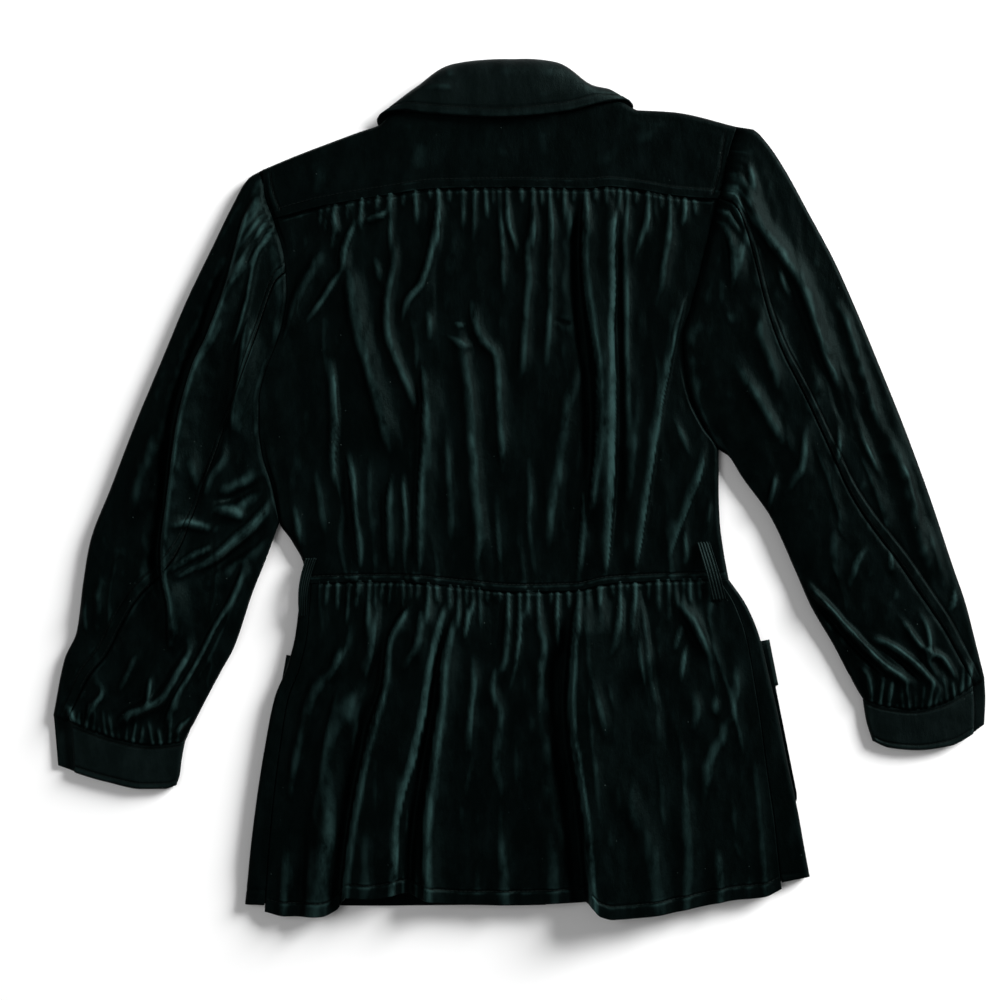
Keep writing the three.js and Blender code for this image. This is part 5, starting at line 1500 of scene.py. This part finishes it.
class BeltLoop(Cloth):
    """A strap over the waist seam, ribbed by its rows of stitching."""

    SEAT = 0.6
    RIBS = 4

    def __init__(self, name: str, bodice: Bodice, below: Cloth, below_outward: int) -> None:
        """Find the strap's ends on the panels that carry it.

        Args:
            name: left or right.
            bodice: The panel above the seam.
            below: The panel below it.
            below_outward: Which side of that panel is the outer one.
        """
        above_places, below_places, arch = BELT_LOOPS[name]
        self.upper = [self._end(bodice, place, -1) for place in above_places]
        self.lower = [self._end(below, place, below_outward) for place in below_places]
        self.arch = np.array(arch, float)

    def _end(self, panel: Cloth, place: tuple[float, float], outward: int) -> np.ndarray:
        """Find a corner of the strap.

        Args:
            panel: What carries it.
            place: The shares there.
            outward: Which side of the panel is the outer one.

        Returns:
            The corner.
        """
        points, normals, folds = panel.framed(np.array([place[0]]), np.array([place[1]]), outward)
        return points[0] + normals[0] * (max(folds[0], 0) + LAYER + self.SEAT)

    def at(self, u, v):
        """See Cloth.at.

        Args:
            u: Shares across the strap.
            v: Shares down it.

        Returns:
            Points and fold heights.
        """
        start = mixed(self.upper[0], self.upper[1], u[:, None])
        stop = mixed(self.lower[0], self.lower[1], u[:, None])
        points = mixed(start, stop, v[:, None]) + self.arch * np.sin(np.pi * np.clip(v, 0, 1))[:, None]
        ribs = 0.35 * np.cos(2 * np.pi * self.RIBS * u)
        return points, ribs


def linear(hex_colour: str) -> tuple[float, float, float, float]:
    """Turn a screen colour into the renderer's linear one.

    Args:
        hex_colour: Six hexadecimal digits.

    Returns:
        Red, green, blue and alpha.
    """
    parts = [int(hex_colour[i:i + 2], 16) / 255 for i in (0, 2, 4)]
    return tuple(c / 12.92 if c <= 0.04045 else ((c + 0.055) / 1.055) ** 2.4 for c in parts) + (1.0,)


def add_node(tree, kind: str, links: dict | None = None, **settings):
    """Add a shader node.

    Args:
        tree: The node tree.
        kind: The node's type.
        links: Input name to an output socket or a plain value.
        **settings: Attributes of the node.

    Returns:
        The node.
    """
    node = tree.nodes.new(kind)
    for name, value in settings.items():
        setattr(node, name, value)
    for name, value in (links or {}).items():
        if isinstance(value, bpy.types.NodeSocket):
            tree.links.new(value, node.inputs[name])
        else:
            node.inputs[name].default_value = value
    return node


def add_range(tree: bpy.types.NodeTree, value: bpy.types.NodeSocket, start: tuple, stop: tuple):
    """Add a node that maps one range to another.

    Args:
        tree: The material's nodes.
        value: What is mapped.
        start: The range that it comes from.
        stop: The range that it goes to.

    Returns:
        The output socket.
    """
    return add_node(tree, "ShaderNodeMapRange", {
        "Value": value, "From Min": start[0], "From Max": start[1],
        "To Min": stop[0], "To Max": stop[1]}).outputs["Result"]


@dataclass(frozen=True)
class Velvet:
    """A dark pile cloth: near black where it is seen straight on, lighter where the pile is grazed, with a
    highlight painted into its colour along the sharp tops of folds.
    """

    name: str
    deep: str = "000101"
    brushed: str = "030707"
    # colour of the highlight painted along the tops of the folds
    crest_highlight: str = "1c2e2d"
    gleam: float = 0.026
    gleam_tint: str = "bcfff8"
    gleam_roughness: float = 0.47
    sheen: float = 0.07
    sheen_tint: str = "7f9a93"
    sheen_roughness: float = 0.3
    crush: float = 0.3

    def build(self) -> bpy.types.Material:
        """Make the material.

        Returns:
            The material.
        """
        material = bpy.data.materials.new(self.name)
        material.use_nodes = True
        tree = material.node_tree
        tree.nodes.clear()
        place = add_node(tree, "ShaderNodeTexCoord").outputs["Object"]
        stretched = add_node(tree, "ShaderNodeMapping", {"Vector": place, "Scale": (1.0, 0.45, 1.0)})
        brushed = add_node(tree, "ShaderNodeTexNoise", {
            "Vector": stretched.outputs["Vector"], "Scale": 60.0, "Detail": 6.0, "Roughness": 0.66})
        strokes = add_range(tree, brushed.outputs["Fac"], (0.42, 0.74), (0.0, 1.0))
        lint = add_node(tree, "ShaderNodeTexVoronoi", {"Vector": place, "Scale": 130.0})
        specks = add_range(tree, lint.outputs["Distance"], (0.035, 0.06), (1.0, 0.0))
        sparse = add_node(tree, "ShaderNodeTexNoise", {"Vector": place, "Scale": 90.0, "Detail": 1.0})
        chosen = add_range(tree, sparse.outputs["Fac"], (0.58, 0.64), (0.0, 0.55))
        dust = add_node(tree, "ShaderNodeMath", {0: specks, 1: chosen},
                        operation="MULTIPLY")
        cloth = add_node(tree, "ShaderNodeMix", data_type="RGBA")
        tree.links.new(strokes, cloth.inputs[0])
        cloth.inputs[6].default_value = linear(self.deep)
        cloth.inputs[7].default_value = linear(self.brushed)
        # painted highlight: the colour is lightened along the sharp tops of the folds to stand in for the
        # velvet's sheen there, broken up unevenly by the brushed noise
        ridge = add_node(tree, "ShaderNodeAttribute", attribute_name="ridge")
        crest_share = add_range(tree, ridge.outputs["Fac"], (0.05, 0.9), (0.0, 1.0))
        patchy = add_range(tree, brushed.outputs["Fac"], (0.34, 0.64), (0.05, 1.15))
        painted_highlight = add_node(tree, "ShaderNodeMath", {0: crest_share, 1: patchy},
                        operation="MULTIPLY")
        highlighted = add_node(tree, "ShaderNodeMix", data_type="RGBA")
        tree.links.new(painted_highlight.outputs["Value"], highlighted.inputs[0])
        tree.links.new(cloth.outputs[2], highlighted.inputs[6])
        highlighted.inputs[7].default_value = linear(self.crest_highlight)
        dusted = add_node(tree, "ShaderNodeMix", data_type="RGBA")
        tree.links.new(dust.outputs["Value"], dusted.inputs[0])
        tree.links.new(highlighted.outputs[2], dusted.inputs[6])
        dusted.inputs[7].default_value = linear("4a5754")
        pile = add_node(tree, "ShaderNodeTexNoise", {"Vector": place, "Scale": 1500.0, "Detail": 2.0})
        crush = add_node(tree, "ShaderNodeTexNoise", {
            "Vector": stretched.outputs["Vector"], "Scale": 90.0, "Detail": 5.0, "Roughness": 0.62})
        relief = add_node(tree, "ShaderNodeMath", {0: pile.outputs["Fac"], 1: 0.22}, operation="MULTIPLY")
        height = add_node(tree, "ShaderNodeMath", {0: relief.outputs["Value"], 1: crush.outputs["Fac"]},
                          operation="ADD")
        bump = add_node(tree, "ShaderNodeBump", {
            "Height": height.outputs["Value"], "Strength": self.crush, "Distance": 0.004})
        surface = add_node(tree, "ShaderNodeBsdfPrincipled", {
            "Base Color": dusted.outputs[2], "Roughness": self.gleam_roughness,
            "Specular IOR Level": self.gleam, "Specular Tint": linear(self.gleam_tint),
            "Sheen Weight": self.sheen, "Sheen Roughness": self.sheen_roughness,
            "Sheen Tint": linear(self.sheen_tint), "Normal": bump.outputs["Normal"]})
        add_node(tree, "ShaderNodeOutputMaterial", {"Surface": surface.outputs["BSDF"]})
        return material


@dataclass(frozen=True)
class Plain:
    """A plain matt finish: thread, or the floor."""

    name: str
    colour: str
    roughness: float = 0.8

    def build(self) -> bpy.types.Material:
        """Make the material.

        Returns:
            The material.
        """
        material = bpy.data.materials.new(self.name)
        material.use_nodes = True
        tree = material.node_tree
        tree.nodes.clear()
        surface = add_node(tree, "ShaderNodeBsdfPrincipled", {
            "Base Color": linear(self.colour), "Roughness": self.roughness, "Specular IOR Level": 0.05})
        add_node(tree, "ShaderNodeOutputMaterial", {"Surface": surface.outputs["BSDF"]})
        return material


def shell(name: str, cloth: Cloth, us: np.ndarray, vs: np.ndarray, outward: int, thick: float = CLOTH):
    """Make a thin shell of cloth.

    Args:
        name: The piece's name.
        cloth: Its surface.
        us: Columns.
        vs: Rows.
        outward: Which side of the surface is the outer one.
        thick: The cloth's thickness, laid inward.

    Returns:
        The object.
    """
    work = bmesh.new()
    bmesh.ops.create_grid(work, x_segments=len(us) - 1, y_segments=len(vs) - 1, size=0.5)
    mesh = bpy.data.meshes.new(name)
    work.to_mesh(mesh)
    work.free()
    flat = np.empty(len(mesh.vertices) * 3)
    mesh.vertices.foreach_get("co", flat)
    flat = flat.reshape(-1, 3)
    if len(flat) != len(us) * len(vs):
        raise ValueError(f"{name}: the grid has {len(flat)} points, not {len(us) * len(vs)}")
    columns = np.rint((flat[:, 0] + 0.5) * (len(us) - 1)).astype(int)
    rows = np.rint((flat[:, 1] + 0.5) * (len(vs) - 1)).astype(int)
    u, v = np.asarray(us)[columns], np.asarray(vs)[rows]
    points, normals, folds = cloth.framed(u, v, outward)
    placed = (points + normals * folds[:, None]) * MM
    mesh.vertices.foreach_set("co", placed.ravel())
    # how sharply each place peaks; the velvet paints a highlight into its colour there
    ridge = crests(folds, columns, rows, (len(us), len(vs)))
    mesh.attributes.new("ridge", "FLOAT", "POINT").data.foreach_set("value", ridge.astype(np.float32))
    mesh.update()
    loops = np.empty(len(mesh.polygons) * 3)
    mesh.polygons.foreach_get("normal", loops)
    first = np.empty(len(mesh.polygons), int)
    mesh.polygons.foreach_get("loop_start", first)
    corner = np.empty(len(mesh.loops), int)
    mesh.loops.foreach_get("vertex_index", corner)
    agreement = np.sum(loops.reshape(-1, 3) * normals[corner[first]])
    if agreement < 0:
        mesh.flip_normals()
    mesh.shade_smooth()
    piece = bpy.data.objects.new(name, mesh)
    bpy.context.collection.objects.link(piece)
    wall = piece.modifiers.new("cloth thickness", "SOLIDIFY")
    wall.thickness = thick * MM
    wall.offset = -1.0
    return piece


def stretches(*parts: tuple) -> np.ndarray:
    """Join evenly spaced stretches of columns or rows.

    Args:
        parts: The first place, last place and count of each.

    Returns:
        The places in order.
    """
    return np.concatenate([np.linspace(*part) for part in parts])


def spread(count: int, start: float = 0.0, stop: float = 1.0, ends: float = 0.0, near: int = 0) -> np.ndarray:
    """Space out columns or rows, closer together near the ends.

    Args:
        count: How many in the even stretch.
        start: First place.
        stop: Last place.
        ends: Share of each end that is spaced closer.
        near: How many places in each of those ends.

    Returns:
        The places in order.
    """
    even = np.linspace(start, stop, count)
    if not near:
        return even
    reach = ends * (stop - start)
    low, high = np.linspace(start, start + reach, near), np.linspace(stop - reach, stop, near)
    middle = even[(even > start + reach) & (even < stop - reach)]
    return np.concatenate([low, middle, high])


class Stitching:
    """Rows of thread laid on the finished cloth."""

    LONG, GAP, WIDE, HIGH = 2.7, 1.3, 0.5, 0.3

    def __init__(self, thread: bpy.types.Material) -> None:
        """Keep the thread.

        Args:
            thread: Its finish.
        """
        self.thread = thread
        self.grounds = {}

    def ground(self, piece: bpy.types.Object) -> BVHTree:
        """Find the surface of a piece.

        Args:
            piece: The piece.

        Returns:
            Its faces, ready for a search.
        """
        if piece.name not in self.grounds:
            self.grounds[piece.name] = BVHTree.FromObject(piece, bpy.context.evaluated_depsgraph_get())
        return self.grounds[piece.name]

    def row(self, name: str, piece: bpy.types.Object, lines: list) -> None:
        """Sew rows on a piece, seen from above.

        Args:
            name: The rows' name.
            piece: What they are sewn on.
            lines: Each line's places across and along, in millimetres.
        """
        ground = self.ground(piece)
        work = bmesh.new()
        for x, y in lines:
            run = np.concatenate([[0.0], np.cumsum(np.hypot(np.diff(x), np.diff(y)))])
            starts = np.arange(1.0, run[-1] - self.LONG, self.LONG + self.GAP)
            for start in starts:
                ends = [self._drop(ground, np.interp(s, run, x), np.interp(s, run, y))
                        for s in (start, start + self.LONG)]
                if None in ends:
                    continue
                (tail, up), (head, _) = ends
                along = head - tail
                if along.length > 2.2 * self.LONG * MM:
                    continue
                over = up.cross(along).normalized()
                axes = (along.normalized(), over, along.cross(over).normalized())
                turn = Matrix(axes).transposed().to_4x4()
                size = Matrix.Diagonal((along.length, self.WIDE * MM, self.HIGH * MM, 1.0))
                place = Matrix.Translation((tail + head) / 2 + up * (0.12 * MM))
                bmesh.ops.create_cube(work, size=1.0, matrix=place @ turn @ size)
        mesh = bpy.data.meshes.new(name)
        work.to_mesh(mesh)
        work.free()
        mesh.materials.append(self.thread)
        rows = bpy.data.objects.new(name, mesh)
        bpy.context.collection.objects.link(rows)
        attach(rows, "root")
        LOG.info("%s: %d faces", name, len(mesh.polygons))

    @staticmethod
    def _drop(ground: BVHTree, x: float, y: float):
        """Find the place on the cloth below a point.

        Args:
            ground: The cloth.
            x: Place across, in millimetres.
            y: Place along.

        Returns:
            The place and its normal, or None off the cloth.
        """
        place, normal, _, _ = ground.ray_cast(Vector((x * MM, y * MM, 0.2)), Vector((0, 0, -1)))
        return None if place is None else (place, normal if normal.z > 0 else -normal)


@dataclass
class Jacket:
    """The whole jacket: its cut pieces, trims and stitching."""

    velvet: bpy.types.Material
    turned: bpy.types.Material
    thread: bpy.types.Material
    pieces: list = field(default_factory=list)

    def sew(self, name: str, cloth: Cloth, us: np.ndarray, vs: np.ndarray, outward: int, nodes: tuple,
            material: bpy.types.Material | None = None,
            thick: float = CLOTH) -> bpy.types.Object:
        """Make a piece and put it in place of its solid.

        Args:
            name: The piece's name.
            cloth: Its surface.
            us: Columns.
            vs: Rows.
            outward: Which side is the outer one.
            nodes: The solids that it stands for.
            material: Its finish, or None for the main velvet.
            thick: The cloth's thickness.

        Returns:
            The object.
        """
        piece = shell(name, cloth, us, vs, outward, thick)
        piece.data.materials.append(material or self.velvet)
        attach(piece, "root")
        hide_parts(*nodes)
        self.pieces.append(piece)
        LOG.info("%s: %d faces", name, len(piece.data.polygons))
        return piece

    def build_body(self) -> None:
        """Make the yoke, the gathered back and the fronts."""
        self.bodice = Bodice()
        columns, rows = spread(226, 0, 1, 0.03, 14), spread(178, -0.006, 1, 0.03, 14)
        self.sew("bodice_back", self.bodice, columns, rows, -1,
                 ("back_bodice",))
        columns = spread(110, 0, 1, 0.06, 24)
        rows = stretches((0, 0.08, 9), (0.1, 0.8, 30), (0.81, 0.998, 28))
        self.sew("yoke_back", Yoke(), columns, rows, -1,
                 ("back_yoke",))
        for side in Side:
            name, facing = side.name.lower(), side.value
            columns, rows = np.linspace(0.003, 1, 60), np.linspace(0, 0.998, 70)
            self.sew(f"body_front_{name}", Front(facing), columns, rows, -facing,
                     (f"front_{name}",))

    def build_peplum(self) -> None:
        """Make the back and the fronts of the peplum."""
        self.peplum = PeplumBack()
        columns, rows = spread(236, 0, 1, 0.02, 8), spread(150, -0.006, 1, 0.06, 22)
        self.sew("peplum_back_skirt", self.peplum, columns, rows, -1,
                 ("peplum_back",))
        self.peplum_left = PeplumFront(-1)
        turned = PeplumFront.TURNED
        us = np.concatenate([np.linspace(0, turned, 40), np.linspace(turned, 1, 40)[1:]])
        for name, side, cloth in (("left", -1, self.peplum_left), ("right", 1, PeplumFront(1))):
            self.sew(f"peplum_front_{name}_skirt", cloth, us, spread(110, 0, 1, 0.06, 12), -side,
                     (f"peplum_front_{name}",))

    def build_sleeves(self) -> None:
        """Make both sleeves and their cuffs."""
        for name, shape in SLEEVES.items():
            rows = stretches((0, 0.02, 5), (0.025, 0.97, 160), (0.975, 1.003, 8))
            across = stretches((0, 0.09, 26), (0.095, 0.62, 74), (0.64, 1, 14))
            self.sew(f"{name}_sleeve_top", SleevePiece(shape, True), across, rows, -shape.side,
                     (f"sleeve_{name}_top",))
            under = stretches((0, 0.03, 8), (0.034, 0.62, 88), (0.64, 1, 14))
            self.sew(f"{name}_sleeve_under", SleevePiece(shape, False), under, rows, shape.side,
                     (f"sleeve_{name}_under",))
            cuff = stretches((0, 0.03, 8), (0.035, 0.42, 60), (0.425, 0.5, 16), (0.52, 0.88, 14),
                             (0.89, 1, 12))
            self.sew(f"{name}_cuff", Cuff(shape), cuff, spread(34, 0.008, 1, 0.15, 10), shape.side,
                     (f"cuff_{name}",), self.turned)

    def build_collar(self) -> None:
        """Make the collar's fall and stand."""
        self.sew("collar_leaf", CollarFall(), np.linspace(0, 1, 210), spread(40, 0, 1, 0.2, 12), 1,
                 ("collar_fall",), self.turned)
        self.sew("collar_band", CollarStand(), np.linspace(0, 1, 120), np.linspace(0, 1, 10), 1,
                 ("collar_stand",), self.turned)

    def build_pockets(self) -> None:
        """Make the pockets and their flaps."""
        for side in Side:
            name, facing = side.name.lower(), side.value
            columns, rows = spread(40, 0, 1, 0.06, 10), np.linspace(0, 1, 40)
            self.sew(f"{name}_pocket", PocketPouch(name), columns, rows, -facing,
                     (f"pocket_{name}",))
            columns, rows = np.linspace(0, 1, 30), np.linspace(0, 1, 14)
            self.sew(f"{name}_pocket_flap", PocketFlap(name), columns, rows, -facing,
                     (f"pocket_flap_{name}",), self.turned)

    def build_belt_loops(self) -> None:
        """Make the belt loops."""
        for name, below, outward in (("left", self.peplum_left, 1), ("right", self.peplum, -1)):
            cloth = BeltLoop(name, self.bodice, below, outward)
            self.sew(f"{name}_belt_loop", cloth, np.linspace(0, 1, 33), np.linspace(0, 1, 40), -1,
                     (f"belt_loop_{name}",), self.turned)

    def build_buttons(self) -> None:
        """Make the covered buttons of the front."""
        for i in range(BUTTON_COUNT):
            y = BUTTON_FIRST + BUTTON_STEP * i
            work = bmesh.new()
            bmesh.ops.create_cone(work, cap_ends=True, segments=48, radius1=BUTTON_RADIUS * MM,
                                  radius2=BUTTON_RADIUS * MM, depth=BUTTON_THICK * MM)
            rims = [e for e in work.edges if len(e.link_faces) == 2 and e.calc_face_angle() > 1]
            bmesh.ops.bevel(work, geom=rims, offset=1.1 * MM, segments=4, affect="EDGES")
            place = (float(centre_front(y)) * MM, y * MM, BUTTON_THICK * MM / 2)
            bmesh.ops.translate(work, verts=work.verts, vec=place)
            mesh = bpy.data.meshes.new(f"covered_button_{i + 1}")
            work.to_mesh(mesh)
            work.free()
            mesh.shade_smooth()
            piece = bpy.data.objects.new(mesh.name, mesh)
            bpy.context.collection.objects.link(piece)
            mesh.materials.append(self.turned)
            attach(piece, "root")
            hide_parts(f"button_{i + 1}")

    def build_stitches(self) -> None:
        """Sew the rows of topstitching that show."""
        made = {piece.name: piece for piece in self.pieces}
        sewing = Stitching(self.thread)

        def beside(seam: Through, start: float, stop: float, away: float) -> tuple[np.ndarray, np.ndarray]:
            """Follow a seam at a distance.

            Args:
                seam: The seam.
                start: Where the row starts, across.
                stop: Where it stops.
                away: How far above the seam it runs.

            Returns:
                The row's places across and along.
            """
            x = np.linspace(start, stop, 200)
            return x, seam(x) + away

        sewing.row("yoke_topstitch", made["yoke_back"], [
            beside(yoke_seam_level, -216, 176, YOKE_BAND - 0.6),
            *(tuple(AcrossLine(line)(np.linspace(0, 1, 60))) for line in YOKE_TOPSTITCH.values())])
        sewing.row("waist_topstitch", made["bodice_back"], [beside(waist_seam_level, -190, 184, 6.5)])
        sewing.row("hem_topstitch", made["peplum_back_skirt"], [beside(self.peplum.hem, -232, 252, 12)])
        v = np.linspace(0.01, 0.93, 240)
        for name, shape in SLEEVES.items():
            cloth = SleevePiece(shape, True)
            seam = cloth.seam(v)
            half = sleeve_half_width(v)
            wide = 2 - 2 * cloth.GAP - seam
            rows = [cloth.at((away / half - cloth.GAP) / wide, v)[0] for away in (1.6, 7.5)]
            lines = [(r[:, 0], r[:, 1]) for r in rows]
            sewing.row(f"{name}_sleeve_topstitch", made[f"{name}_sleeve_top"], lines)
            cuff, u = Cuff(shape), np.linspace(0.02, 0.5, 120)
            edges = [cuff.at(u, np.full_like(u, down))[0] for down in (4 / Cuff.LONG, 1 - 5 / Cuff.LONG)]
            sewing.row(f"{name}_cuff_topstitch", made[f"{name}_cuff"], [(r[:, 0], r[:, 1]) for r in edges])
        fall, u = CollarFall(), np.linspace(0.2, 0.8, 300)
        wide = np.linalg.norm(catmull(fall.roll, u) - catmull(fall.edge, u), axis=1)
        row = fall.at(u, np.arcsin(np.clip(8.5 / wide, 0, 1)) * 2 / np.pi)[0]
        sewing.row("collar_topstitch", made["collar_leaf"], [(row[:, 0], row[:, 1])])

    def build(self) -> None:
        """Make every piece in order."""
        self.build_body()
        self.build_peplum()
        self.build_sleeves()
        self.build_collar()
        self.build_pockets()
        self.build_belt_loops()
        self.build_buttons()
        self.build_stitches()


@dataclass(frozen=True)
class Studio:
    """The camera straight above, the pale floor and the soft light."""

    middle: tuple[float, float] = (-0.01665, -0.01125)
    width: float = 0.9
    lens: float = 85.0
    sensor: float = 36.0
    floor_colour: str = "f4f4f4"

    def build(self) -> None:
        """Make the camera, floor and lights."""
        data = bpy.data.cameras.new("camera")
        data.lens = self.lens
        data.sensor_width = self.sensor
        camera = bpy.data.objects.new("camera", data)
        camera.location = (*self.middle, self.width * self.lens / self.sensor + 0.012)
        bpy.context.collection.objects.link(camera)
        bpy.context.scene.camera = camera
        work = bmesh.new()
        bmesh.ops.create_grid(work, x_segments=1, y_segments=1, size=12.0)
        mesh = bpy.data.meshes.new("floor")
        work.to_mesh(mesh)
        work.free()
        floor = bpy.data.objects.new("floor", mesh)
        floor.data.materials.append(Plain("pale floor", self.floor_colour, 0.9).build())
        floor.location.z = -0.0005
        bpy.context.collection.objects.link(floor)
        self._lamp("key", (4.3, 3.0, 1.9), 2.6, 990.0)
        self._lamp("fill", (-3.0, 0.5, 5.0), 3.0, 75.0)
        world = bpy.data.worlds.new("studio")
        world.use_nodes = True
        world.node_tree.nodes["Background"].inputs["Color"].default_value = (1, 1, 1, 1)
        world.node_tree.nodes["Background"].inputs["Strength"].default_value = 0.17
        bpy.context.scene.world = world
        bpy.context.scene.view_settings.view_transform = "Standard"

    @staticmethod
    def _lamp(name: str, place: tuple, size: float, power: float) -> None:
        """Hang a soft lamp that points at the jacket.

        Args:
            name: The lamp's name.
            place: Where it hangs.
            size: The side of its square.
            power: Its power in watts.
        """
        data = bpy.data.lights.new(name, "AREA")
        data.size = size
        data.energy = power
        lamp = bpy.data.objects.new(name, data)
        lamp.location = place
        lamp.rotation_euler = (-Vector(place)).to_track_quat("-Z", "Y").to_euler()
        bpy.context.collection.objects.link(lamp)


def main() -> None:
    """Build the jacket and the studio."""
    logging.basicConfig(level=logging.INFO, format="%(message)s")
    velvet = Velvet("dark velvet").build()
    turned = Velvet("dark velvet, turned", deep="020404", brushed="080e0e", gleam=0.05).build()
    thread = Plain("thread", "060b0a").build()
    Jacket(velvet, turned, thread).build()
    Studio().build()


if __name__ == "__main__":
    main()
